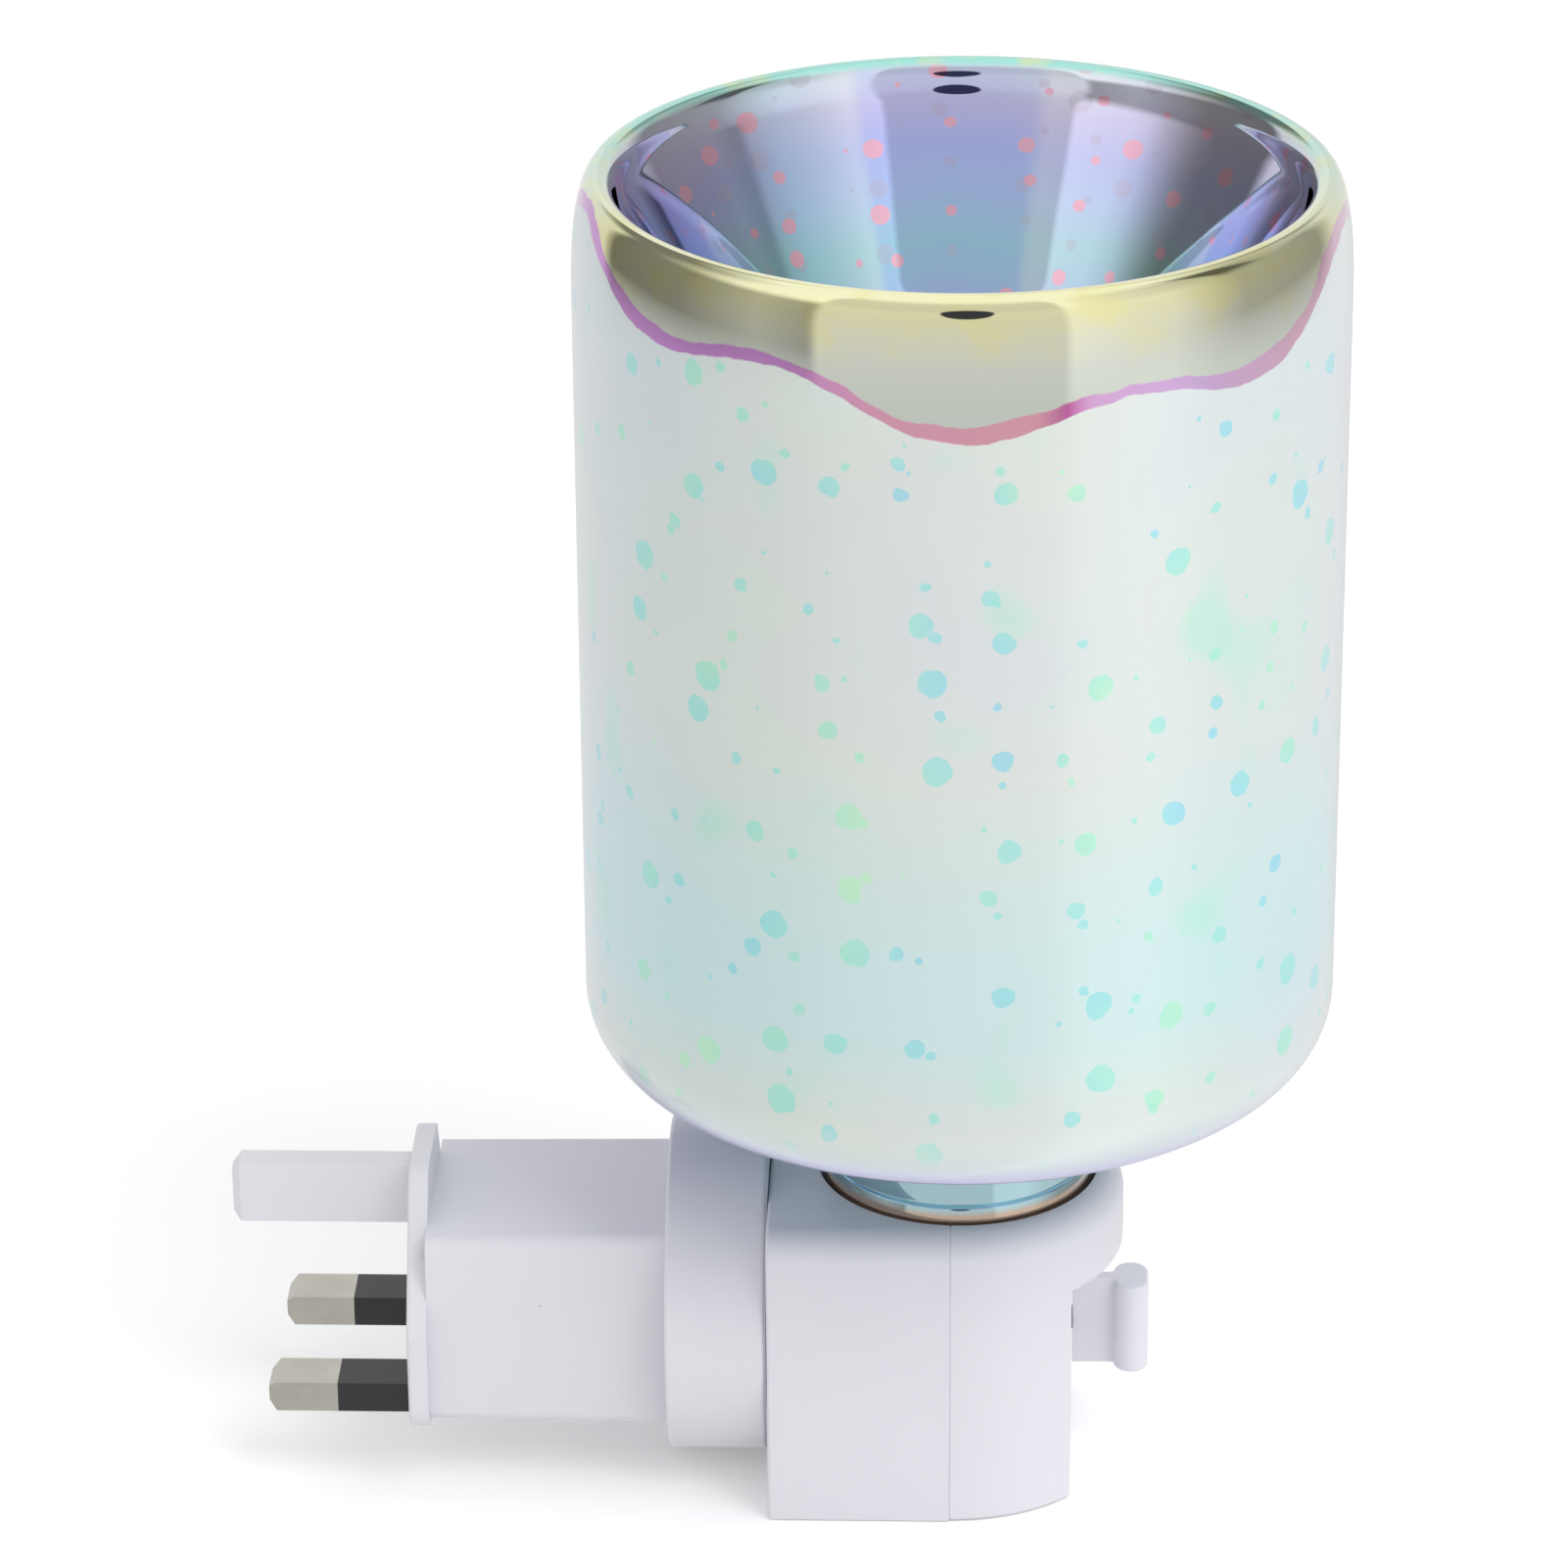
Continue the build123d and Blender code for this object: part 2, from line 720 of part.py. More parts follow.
# Rotary switch behind the front flat, with its spindle and the paddle knob
with BuildPart() as switch_body:
    with BuildSketch(wall_plane(front_inner_y)):
        with Locations((0, knob_z)):
            Rectangle(switch_width, switch_height)
    extrude(amount=-switch_depth)
    with BuildSketch(wall_plane(front_inner_y)):
        with Locations((0, knob_z)):
            Circle(spindle_radius + running_clearance)
    extrude(amount=-(spindle_depth + knob_gap), mode=Mode.SUBTRACT)
save(switch_body, "switch_body")

switch_back_y = front_inner_y + switch_depth
with BuildPart() as switch_tabs:
    with BuildSketch(wall_plane(switch_back_y)):
        with Locations((0, knob_z), (switch_tab_x, knob_z)):
            Rectangle(switch_tab_width, switch_tab_thickness)
    extrude(amount=-switch_tab_length)
save(switch_tabs, "switch_tabs")

knob_face_y = front_y - knob_reach
head_back_y = knob_face_y + knob_head_depth
web_back_y = front_y - knob_gap
with BuildPart() as switch_spindle:
    with BuildSketch(wall_plane(front_inner_y + spindle_depth)):
        with Locations((0, knob_z)):
            Circle(spindle_radius)
    extrude(amount=front_inner_y + spindle_depth - web_back_y)
    with BuildSketch(wall_plane(web_back_y)):
        with Locations((0, knob_z)):
            Rectangle(tang_thickness, tang_height)
    extrude(amount=tang_length)
save(switch_spindle, "switch_spindle")

# Paddle knob: a rounded head on a flat web
with BuildPart() as switch_knob:
    with BuildSketch(Plane.XY.offset(knob_z - knob_height / 2)):
        with Locations((0, (web_back_y + head_back_y) / 2)):
            Rectangle(knob_web_thickness, web_back_y - head_back_y)
        with Locations((0, (knob_face_y + head_back_y) / 2)):
            SlotOverall(knob_head_width, knob_head_depth)
    extrude(amount=knob_height)
    creases = switch_knob.edges().filter_by(Axis.Z).group_by(Axis.Y)[1:-1]
    fillet(creases[-1], radius=knob_crease)
    ends = switch_knob.faces().filter_by(Axis.Z).edges().filter_by(GeomType.CIRCLE)
    fillet(ends, radius=knob_edge)
    with BuildSketch(wall_plane(web_back_y)):
        with Locations((0, knob_z)):
            Rectangle(tang_thickness, tang_height)
    extrude(amount=tang_length, mode=Mode.SUBTRACT)
save(switch_knob, "switch_knob")

# Lampholder: a skirt and an inner sleeve on one floor, held in the shells by its flange
holder_z = housing_top - holder_below_top
holder_floor_z = holder_z + holder_floor
sleeve_radius = screw_shell_radius + seat_clearance
with BuildPart() as lampholder_body:
    with BuildSketch(Plane.XY.offset(holder_z)):
        with Locations((0, shade_y)):
            Circle(holder_base_radius)
            Circle(rivet_radius, mode=Mode.SUBTRACT)
    extrude(amount=flange_z - holder_z)
    with BuildSketch(Plane.XY.offset(flange_z)):
        with Locations((0, shade_y)):
            Circle(holder_radius + holder_flange)
    extrude(amount=flange_thickness)
    with BuildSketch(Plane.XY.offset(flange_top_z)):
        with Locations((0, shade_y)):
            Circle(holder_radius)
            Circle(holder_radius - holder_skirt, mode=Mode.SUBTRACT)
    extrude(amount=holder_z + holder_height - flange_top_z)
    with BuildSketch(Plane.XY.offset(flange_top_z)):
        with Locations((0, shade_y)):
            Circle(sleeve_radius + sleeve_wall)
    extrude(amount=holder_z + holder_height - sleeve_drop - flange_top_z)
    with BuildSketch(Plane.XY.offset(holder_floor_z)):
        with Locations((0, shade_y)):
            Circle(sleeve_radius)
    extrude(amount=holder_height, mode=Mode.SUBTRACT)
save(lampholder_body, "lampholder_body")

with BuildPart() as screw_shell:
    with BuildSketch(Plane.XY.offset(holder_floor_z)):
        with Locations((0, shade_y)):
            Circle(screw_shell_radius)
            Circle(screw_shell_radius - screw_shell_wall, mode=Mode.SUBTRACT)
    extrude(amount=screw_shell_height)
save(screw_shell, "screw_shell")

# Centre contact: a bent strip on the holder's floor with a rivet down through it
contact_top_z = holder_floor_z + contact_rise
contact_half = screw_shell_radius - screw_shell_wall - contact_thickness
with BuildPart() as centre_contact:
    with BuildSketch(shade_plane):
        with BuildLine():
            Polyline(
                (-contact_half, holder_floor_z),
                (rivet_radius, holder_floor_z),
                (contact_half, contact_top_z - contact_thickness),
                (contact_half, contact_top_z),
                (rivet_radius - contact_thickness, holder_floor_z + contact_thickness),
                (-contact_half, holder_floor_z + contact_thickness),
                close=True,
            )
        make_face()
    extrude(amount=contact_width / 2, both=True)
    with BuildSketch(Plane.XY.offset(holder_z - contact_thickness)):
        with Locations((0, shade_y)):
            Circle(rivet_radius)
    extrude(amount=holder_floor + contact_thickness)
save(centre_contact, "centre_contact")

terminal_y = shade_y + terminal_back
terminal_z = holder_z - terminal_size
with BuildPart() as holder_terminals:
    with BuildSketch(Plane.XY.offset(terminal_z)):
        with Locations((0, terminal_y), (-terminal_x, terminal_y)):
            Rectangle(terminal_size, terminal_size)
    extrude(amount=terminal_size)
save(holder_terminals, "holder_terminals")

# Lamp: tip, insulator and threaded cap, a tubular envelope, and the mount that holds the filament
lamp_z = contact_top_z + seat_clearance
cap_z = lamp_z + cap_start
lamp_neck_radius = cap_radius - thread_depth - cap_wall - seat_clearance
with BuildPart() as lamp_tip:
    with BuildSketch(shade_plane):
        with BuildLine():
            dome = TangentArc((0, lamp_z), (tip_radius, lamp_z + tip_height), tangent=(1, 0))
            Polyline(dome @ 1, (0, lamp_z + tip_height), dome @ 0)
        make_face()
    revolve(axis=shade_axis)
save(lamp_tip, "lamp_tip")

with BuildPart() as lamp_insulator:
    with BuildSketch(shade_plane):
        with BuildLine():
            Polyline(
                (0, lamp_z + tip_height),
                (tip_radius, lamp_z + tip_height),
                (cap_radius - thread_depth, cap_z),
                (0, cap_z),
                close=True,
            )
        make_face()
    revolve(axis=shade_axis)
save(lamp_insulator, "lamp_insulator")

with BuildPart() as lamp_cap:
    with BuildSketch(shade_plane):
        with BuildLine():
            root = cap_radius - thread_depth
            for turn in range(thread_turns):
                start_z = cap_z + (turn + 1 / 2) * thread_pitch
                ridge = ThreePointArc(
                    (root, start_z),
                    (cap_radius, start_z + thread_pitch / 2),
                    (root, start_z + thread_pitch),
                )
            Line((root, cap_z), (root, cap_z + thread_pitch / 2))
            Polyline(
                ridge @ 1,
                (root, cap_z + cap_height),
                (root - cap_wall, cap_z + cap_height),
                (root - cap_wall, cap_z),
                (root, cap_z),
            )
        make_face()
    revolve(axis=shade_axis)
save(lamp_cap, "lamp_cap")

glass_z = lamp_z + lamp_glass_start
neck_z = cap_z + cap_height
shoulder_start_z = lamp_z + lamp_shoulder_start
lamp_top_z = lamp_z + lamp_length
with BuildPart() as lamp_glass:
    with BuildSketch(shade_plane):
        for inset in (0, lamp_wall):
            neck = lamp_neck_radius - inset
            body = lamp_radius - inset
            crown_z = lamp_top_z - lamp_radius
            with BuildLine():
                Polyline((neck, glass_z - inset), (0, glass_z - inset), (0, lamp_top_z - inset))
                crown = CenterArc((0, crown_z), body, 0, 90)
                Line(crown @ 0, (body, shoulder_start_z))
                Bezier(
                    (body, shoulder_start_z),
                    (body, (neck_z + shoulder_start_z) / 2),
                    (neck, (neck_z + shoulder_start_z) / 2),
                    (neck, neck_z),
                )
                Line((neck, neck_z), (neck, glass_z - inset))
            make_face(mode=Mode.SUBTRACT if inset else Mode.ADD)
    revolve(axis=shade_axis)
save(lamp_glass, "lamp_glass")

stem_top_z = glass_z + stem_height
with BuildPart() as lamp_stem:
    with BuildSketch(shade_plane):
        with BuildLine():
            Polyline(
                (0, glass_z),
                (lamp_neck_radius - lamp_wall - seat_clearance, glass_z),
                (stem_radius, glass_z + stem_foot),
                (stem_radius, stem_top_z),
                (0, stem_top_z),
                close=True,
            )
        make_face()
    revolve(axis=shade_axis)
save(lamp_stem, "lamp_stem")

# Filament: one zigzag wire between two posts that stand on the stem
filament_z = stem_top_z + filament_rise
wire_z = stem_top_z + filament_radius
step = filament_span / filament_legs
zigzag = [
    (index * step - filament_span / 2, filament_z + (-1) ** index * filament_rise / 4)
    for index in range(filament_legs + 1)
]
route = [
    (-stem_radius / 2, wire_z),
    (-filament_span, filament_z),
    *zigzag,
    (filament_span, filament_z),
    (stem_radius / 2, wire_z),
]
with BuildPart() as lamp_filament:
    with BuildLine(shade_plane) as filament_line:
        FilletPolyline(*route, radius=2 * filament_radius)
    with BuildSketch(Plane(origin=filament_line.line @ 0, z_dir=filament_line.line % 0)):
        Circle(filament_radius)
    sweep()
save(lamp_filament, "lamp_filament")

# Insulated leads, from the pins to the slip rings and from the brushes to switch and lampholder
root_y = -(plate_thickness + line_root_length)
drum_y = collar_y - collar_plate
leaf_y = rear_inner_y - leaf_thickness
leaf_foot_z = leaf_bottom_z + leaf_width / 2
routes = {}
for name, (x, z) in line_places.items():
    hole_x, hole_z = lead_holes[name]
    tail_x, tail_z = tail_places[name]
    routes[f"plug_{name}_lead"] = [
        (x, root_y, z),
        (x, root_y - lead_run, z),
        (hole_x, root_y - 2 * lead_run, hole_z),
        (hole_x, (2 * drum_y + carrier_y) / 3, hole_z),
        (tail_x, (drum_y + 2 * carrier_y) / 3, tail_z),
        (tail_x, carrier_y, tail_z),
    ]
tab_end_y = switch_back_y + switch_tab_length
live_x = brush_places["live"][0]
neutral_x = brush_places["neutral"][0]
routes["live_lead"] = [
    (live_x, leaf_y, leaf_foot_z),
    (live_x, leaf_y - lead_run, leaf_foot_z),
    (switch_tab_x, tab_end_y + 2 * lead_run, knob_z),
    (switch_tab_x, tab_end_y, knob_z),
]
routes["neutral_lead"] = [
    (neutral_x, leaf_y, leaf_foot_z),
    (neutral_x, leaf_y - lead_run, leaf_foot_z),
    (-terminal_x, terminal_y, terminal_z - 2 * lead_run),
    (-terminal_x, terminal_y, terminal_z),
]
routes["switch_lead"] = [
    (0, tab_end_y, knob_z),
    (0, terminal_y, knob_z),
    (0, terminal_y, terminal_z),
]
for name, points in routes.items():
    with BuildPart() as lead:
        with BuildLine() as lead_line:
            FilletPolyline(*points, radius=lead_bend)
        with BuildSketch(Plane(origin=lead_line.line @ 0, z_dir=lead_line.line % 0)):
            Circle(lead_radius)
        sweep()
    save(lead, name)
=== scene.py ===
"""Dresses a plug-in wax melt warmer: a coated glass shade with a wax dish on a white base."""

import json
from math import cos, pi, radians, tan

import bmesh
import bpy
from mathutils import Matrix, Vector

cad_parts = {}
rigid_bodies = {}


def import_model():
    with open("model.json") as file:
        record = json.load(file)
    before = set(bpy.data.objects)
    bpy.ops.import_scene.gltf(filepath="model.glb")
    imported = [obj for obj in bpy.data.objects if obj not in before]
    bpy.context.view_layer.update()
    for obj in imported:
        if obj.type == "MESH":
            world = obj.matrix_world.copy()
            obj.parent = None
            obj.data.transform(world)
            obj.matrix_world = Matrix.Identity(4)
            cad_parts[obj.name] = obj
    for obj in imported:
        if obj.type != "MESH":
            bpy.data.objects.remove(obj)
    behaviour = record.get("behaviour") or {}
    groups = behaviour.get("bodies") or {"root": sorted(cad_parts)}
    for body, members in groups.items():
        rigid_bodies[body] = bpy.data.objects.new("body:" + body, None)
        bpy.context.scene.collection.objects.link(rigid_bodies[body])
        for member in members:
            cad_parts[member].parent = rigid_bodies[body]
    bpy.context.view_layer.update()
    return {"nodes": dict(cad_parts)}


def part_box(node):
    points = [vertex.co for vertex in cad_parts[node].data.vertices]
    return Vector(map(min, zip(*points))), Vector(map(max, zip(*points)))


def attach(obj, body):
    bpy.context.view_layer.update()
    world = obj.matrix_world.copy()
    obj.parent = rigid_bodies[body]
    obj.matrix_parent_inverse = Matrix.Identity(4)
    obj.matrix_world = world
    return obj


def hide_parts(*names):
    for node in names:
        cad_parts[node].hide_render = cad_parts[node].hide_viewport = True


bl_info = {
    "name": "Wax Melt Warmer",
    "version": (1, 0, 0),
    "blender": (4, 5, 0),
    "location": "3D View > Sidebar > Warmer",
    "description": "Builds the glass, lamp, housing, plug and studio of a plug-in wax melt warmer",
    "category": "Object",
}

for leftover in list(bpy.data.objects):
    bpy.data.objects.remove(leftover)
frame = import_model()
nodes = frame["nodes"]

MM = 0.001
shade_low, shade_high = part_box("glass_shade")
shade_centre = (shade_low + shade_high) / 2
axis_point = Vector((shade_centre.x, shade_centre.y, 0))
lamp_low, lamp_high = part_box("lamp_glass")
floor_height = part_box("rear_shell")[0].z
collar_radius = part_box("swivel_collar")[1].x
housing_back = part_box("rear_shell")[1].y
seam_gap = 0.002 * MM  # points of a turned skin nearer than this are one
shade_reach = shade_high.x / MM  # radius in millimetres at which the outer skin is rolled out
dish_reach = 33.0  # and the dish's wall
mottle = 0.45  # roughness of the noises that cloud the plating
trees = {}


def colour(code):
    """Linear colour for an sRGB hex value."""
    channels = [int(code[start : start + 2], 16) / 255 for start in (0, 2, 4)]
    return [c / 12.92 if c <= 0.04045 else ((c + 0.055) / 1.055) ** 2.4 for c in channels]


def rgba(code):
    """The same with full opacity, for sockets and ramp stops."""
    return (*colour(code), 1)


def add(tree, kind, inputs=(), stops=(), **settings):
    """Adds a node with its settings, and sets or links its inputs, by name or in their order.

    A node given as an input stands for its first output in use. stops are the places and the
    sRGB hex values of a colour ramp.
    """
    made = tree.nodes.new(kind)
    for name, value in settings.items():
        setattr(made, name, value)
    for key, value in inputs.items() if isinstance(inputs, dict) else enumerate(inputs):
        if isinstance(value, bpy.types.Node):
            value = next(end for end in value.outputs if end.enabled)
        if isinstance(value, bpy.types.NodeSocket):
            tree.links.new(value, made.inputs[key])
        else:
            made.inputs[key].default_value = value
    if stops:
        elements = made.color_ramp.elements
        while len(elements) < len(stops):
            elements.new(1.0)
        for element, (position, code) in zip(elements, stops):
            element.position = position
            element.color = rgba(code)
    return made


def length(name, default, description):
    """A length property given in millimetres."""
    return bpy.props.FloatProperty(
        name=name, description=description, default=default * MM, unit="LENGTH", precision=4
    )


def angle(name, default, description):
    """An angle property given in degrees."""
    return bpy.props.FloatProperty(
        name=name, description=description, default=radians(default), subtype="ANGLE"
    )


def segments(default):
    """A property for the divisions round an axis."""
    return bpy.props.IntProperty(
        name="Segments", description="Divisions round the axis", default=default, min=24
    )


def point(name, default, description):
    """A property for a place."""
    return bpy.props.FloatVectorProperty(
        name=name, description=description, default=default, subtype="XYZ", unit="LENGTH"
    )


class ShadeSettings(bpy.types.PropertyGroup):
    """Sizes of the glass shade, measured as the structure's are."""

    wall: length("Wall", 1.8, "Thickness of the glass")
    crest_inset: length("Crest inset", 3.0, "How far the rim's crest is inside the outer skin")
    shoulder_drop: length("Shoulder drop", 14.0, "Where the round shoulder ends below the crest")
    throat_inset: length("Throat inset", 5.25, "How far the steep throat is from the outer skin")
    throat_drop: length("Throat drop", 2.2, "Where the steep throat starts below the crest")
    knee_drop: length("Knee drop", 3.6, "Where the throat opens into the dish's sloping side")
    knee_radius: length("Knee radius", 9.0, "Radius between the throat and the dish's side")
    dish_depth: length("Dish depth", 31.0, "Depth of the wax dish below the crest")
    dish_corner: length("Dish corner", 12.0, "Radius between the dish's side and floor")
    foot_height: length("Foot height", 19.3, "Height of the shade's underside over its neck's end")
    foot_corner: length("Foot corner", 9.5, "Radius at the foot of the shade")
    neck_radius: length("Neck radius", 16.2, "Radius of the neck")
    neck_fillet: length("Neck fillet", 4.0, "Radius between the underside and the neck")
    bead_radius: length("Bead radius", 17.0, "Radius of the bead round the neck's end")
    bead_height: length("Bead height", 4.6, "Height of that bead")
    rim_fill: length("Rim fill", 7.0, "How far the glass is solid below the crest")
    rim_tip: length("Rim tip", 1.2, "Half width of the hollow's upper end")
    neck_edge: length("Neck edge", 0.3, "Rounding of the neck's open end")
    dish_slope: angle("Dish slope", 28.0, "How far the dish's side leans outwards")
    throat_slope: angle("Throat slope", 16.0, "How far the throat under the rim leans outwards")
    segments: segments(176)


class LampSettings(bpy.types.PropertyGroup):
    """Sizes of the lamp's envelope."""

    wall: length("Wall", 0.8, "Thickness of the envelope")
    neck_radius: length("Neck radius", 5.9, "Radius of the neck that is cemented into the cap")
    neck_height: length("Neck height", 2.4, "How far the neck is straight")
    shoulder_height: length("Shoulder height", 13.0, "Where the tube reaches its full radius")
    segments: segments(72)


class ScrewSettings(bpy.types.PropertyGroup):
    """Sizes of the cross recess in the screw heads."""

    slot_width: length("Slot width", 0.7, "Width of each arm of the recess")
    slot_depth: length("Slot depth", 0.9, "Depth of the recess")
    edge: length("Head edge", 0.45, "Rounding of the pan head")
    under_edge: length("Under edge", 0.1, "Rounding under the pan head")
    tip_edge: length("Tip edge", 0.3, "Rounding where the shank runs to its tip")
    tip_radius: length("Tip radius", 0.2, "Radius of the blunt tip")
    segments: segments(48)


class PlugSettings(bpy.types.PropertyGroup):
    """Sizes of the swivel collar's raised running face, which nearly closes its joint."""

    swivel_gap: length("Swivel gap", 0.3, "Space between the collar and the housing's back")
    face_inset: length("Face inset", 0.5, "How far the running face is inside the collar's edge")
    face_bore: length("Face bore", 17.0, "Inner radius of the running face")
    face_rise: length("Face rise", 0.2, "How far it stands off the collar")
    segments: segments(96)


class FinishSettings(bpy.types.PropertyGroup):
    """Colours of the finishes that show most."""

    plastic: bpy.props.FloatVectorProperty(
        name="Plastic",
        description="Colour of the moulded base",
        subtype="COLOR",
        default=colour("e2e2e8"),
    )
    pearl: bpy.props.FloatVectorProperty(
        name="Pearl",
        description="Main colour of the coated glass",
        subtype="COLOR",
        default=colour("dbe2df"),
    )

class StageSettings(bpy.types.PropertyGroup):
    """The camera, the floor and the light."""

    camera_place: point("Camera place", (-0.728, -0.0731, 0.395), "Where the camera stands")
    camera_target: point(
        "Camera target", (0.0, -0.0469, 0.0686), "The point in the middle of the picture"
    )
    camera_roll: angle("Camera roll", -0.46, "Turn of the camera about its view")
    camera_lens: bpy.props.FloatProperty(
        name="Lens",
        description="Focal length on a 36 mm wide sensor",
        subtype="DISTANCE_CAMERA",
        default=150.39,
    )
    floor_size: length("Floor size", 3000.0, "Width of the floor")
    ambient: bpy.props.FloatProperty(
        name="Ambient", description="Strength of the light from all round", default=0.8
    )
    key_power: bpy.props.FloatProperty(
        name="Key", description="Power of the large soft light", subtype="POWER", default=9.0
    )
    key_size: length("Key size", 900.0, "Width of that light")
    key_place: point("Key place", (-0.55, -0.75, 1.05), "Where it stands")
    key_target: point("Key target", (0.0, -0.06, 0.06), "Where it points")


# Curves and meshes


def corner(before, at, after, radius):
    """Bezier knots, each with its handles, of the arc that rounds one corner of a line."""
    at = Vector(at)
    inward = (Vector(before) - at).normalized()
    outward = (Vector(after) - at).normalized()
    turn = pi - inward.angle(outward)
    reach = radius * tan(turn / 2)
    handle = 4 / 3 * tan(turn / 4) * radius
    start, end = at + inward * reach, at + outward * reach
    return [(start, start, start - inward * handle), (end, end - outward * handle, end)]


def plain(point):
    """A sharp Bezier knot."""
    point = Vector(point)
    return (point, point, point)


def rounded(points):
    """Bezier knots of an open line of (radius from the axis, height, rounding) points."""
    knots = [plain(points[0][:2])]
    for before, at, after in zip(points, points[1:], points[2:]):
        if at[2]:
            knots += corner(before[:2], at[:2], after[:2], at[2])
        else:
            knots.append(plain(at[:2]))
    return [*knots, plain(points[-1][:2])]


def bent(start, start_handle, end_handle, end):
    """Bezier knots of one curve between two points."""
    start, end = Vector(start), Vector(end)
    return [(start, start, Vector(start_handle)), (end, Vector(end_handle), end)]


def joined(*runs):
    """One list of knots from runs that each start where the one before ended."""
    knots = list(runs[0])
    for run in runs[1:]:
        place, back, _ = knots[-1]
        knots[-1] = (place, back, run[0][2])
        knots += run[1:]
    return knots


def profile_curve(name, knots, steps):
    """A Bezier curve object in the XZ plane, hidden once it has been turned into a piece."""
    data = bpy.data.curves.new(name, "CURVE")
    data.dimensions = "3D"
    data.resolution_u = steps
    spline = data.splines.new("BEZIER")
    spline.bezier_points.add(len(knots) - 1)
    for point, (place, back, ahead) in zip(spline.bezier_points, knots):
        point.handle_left_type = point.handle_right_type = "FREE"
        point.co = (place.x, 0, place.y)
        point.handle_left = (back.x, 0, back.y)
        point.handle_right = (ahead.x, 0, ahead.y)
    curve = bpy.data.objects.new(name, data)
    bpy.context.scene.collection.objects.link(curve)
    return curve


def faced(name, inputs):
    """A new geometry tree with its named inputs, and the identifier of each of them."""
    tree = bpy.data.node_groups.new(name, "GeometryNodeTree")
    face = tree.interface
    keys = {
        label: face.new_socket(label, in_out="INPUT", socket_type=f"NodeSocket{kind}").identifier
        for label, kind in inputs.items()
    }
    face.new_socket("Geometry", in_out="OUTPUT", socket_type="NodeSocketGeometry")
    return tree, keys, add(tree, "NodeGroupInput").outputs


def delivered(tree, geometry, material):
    """The end of a geometry tree: real faces, with their material."""
    whole = add(tree, "GeometryNodeRealizeInstances", (geometry,))
    dressed = add(
        tree, "GeometryNodeSetMaterial", {"Geometry": whole, "Material": material}
    )
    add(tree, "NodeGroupOutput", (dressed,))


def lathe_tree():
    """Geometry nodes that turn a profile curve about an upright axis into one closed skin."""
    inputs = {
        "Geometry": "Geometry",
        "Profile": "Object",
        "Segments": "Int",
        "Axis": "Vector",
        "Material": "Material",
    }
    tree, keys, given = faced("Lathe", inputs)
    drawn = add(tree, "GeometryNodeObjectInfo", {"Object": given["Profile"]}).outputs["Geometry"]
    line = add(tree, "GeometryNodeResampleCurve", {"Curve": drawn}, mode="EVALUATED")
    size = add(
        tree, "GeometryNodeAttributeDomainSize", {"Geometry": line}, component="CURVE"
    )
    rings = size.outputs["Point Count"]
    around = add(tree, "ShaderNodeMath", (given["Segments"], 1.0), operation="ADD")
    grid = add(
        tree,
        "GeometryNodeMeshGrid",
        {"Size X": 1.0, "Size Y": 1.0, "Vertices X": around, "Vertices Y": rings},
    )
    index = add(tree, "GeometryNodeInputIndex")
    ring = add(tree, "ShaderNodeMath", (index, rings), operation="MODULO")
    row = add(tree, "ShaderNodeMath", (index, rings), operation="DIVIDE")
    step = add(tree, "ShaderNodeMath", (row,), operation="FLOOR")
    share = add(tree, "ShaderNodeMath", (step, given["Segments"]), operation="DIVIDE")
    turn = add(tree, "ShaderNodeMath", (share, 2 * pi), operation="MULTIPLY")
    place = add(tree, "GeometryNodeInputPosition")
    on_line = add(
        tree,
        "GeometryNodeSampleIndex",
        {"Geometry": line, "Value": place, "Index": ring},
        data_type="FLOAT_VECTOR",
    )
    turned = add(
        tree, "ShaderNodeVectorRotate", {"Vector": on_line, "Angle": turn}, rotation_type="Z_AXIS"
    )
    centred = add(tree, "ShaderNodeVectorMath", (turned, given["Axis"]), operation="ADD")
    skin = add(tree, "GeometryNodeSetPosition", {"Geometry": grid, "Position": centred})
    closed = add(tree, "GeometryNodeMergeByDistance", {"Geometry": skin, "Distance": seam_gap})
    smooth = add(tree, "GeometryNodeSetShadeSmooth", (closed,))
    delivered(tree, smooth, given["Material"])
    return tree, keys


def screw_tree(lathe):
    """Geometry nodes that turn one screw, cut its cross recess and set it at every place."""
    inputs = {
        "Geometry": "Geometry",
        "Profile": "Object",
        "Segments": "Int",
        "Slot width": "Float",
        "Slot length": "Float",
        "Slot depth": "Float",
        "Tilt": "Float",
        "Material": "Material",
    }
    tree, keys, given = faced("Screws", inputs)
    blank = add(
        tree,
        "GeometryNodeGroup",
        {name: given[name] for name in ("Profile", "Segments", "Material")},
        node_tree=lathe,
    )
    cut = add(
        tree,
        "GeometryNodeMeshBoolean",
        {"Mesh 1": blank},
        operation="DIFFERENCE",
        solver="EXACT",
    )
    depth = add(tree, "ShaderNodeMath", (given["Slot depth"], 2.0), operation="MULTIPLY")
    for along, across in (("Slot length", "Slot width"), ("Slot width", "Slot length")):
        size = add(tree, "ShaderNodeCombineXYZ", (given[along], given[across], depth))
        arm = add(tree, "GeometryNodeMeshCube", {"Size": size})
        tree.links.new(arm.outputs["Mesh"], cut.inputs["Mesh 2"])
    tilt = add(tree, "ShaderNodeCombineXYZ", (given["Tilt"],))
    placed = add(
        tree,
        "GeometryNodeInstanceOnPoints",
        {"Points": given["Geometry"], "Instance": cut, "Rotation": tilt},
    )
    delivered(tree, placed, given["Material"])
    return tree, keys


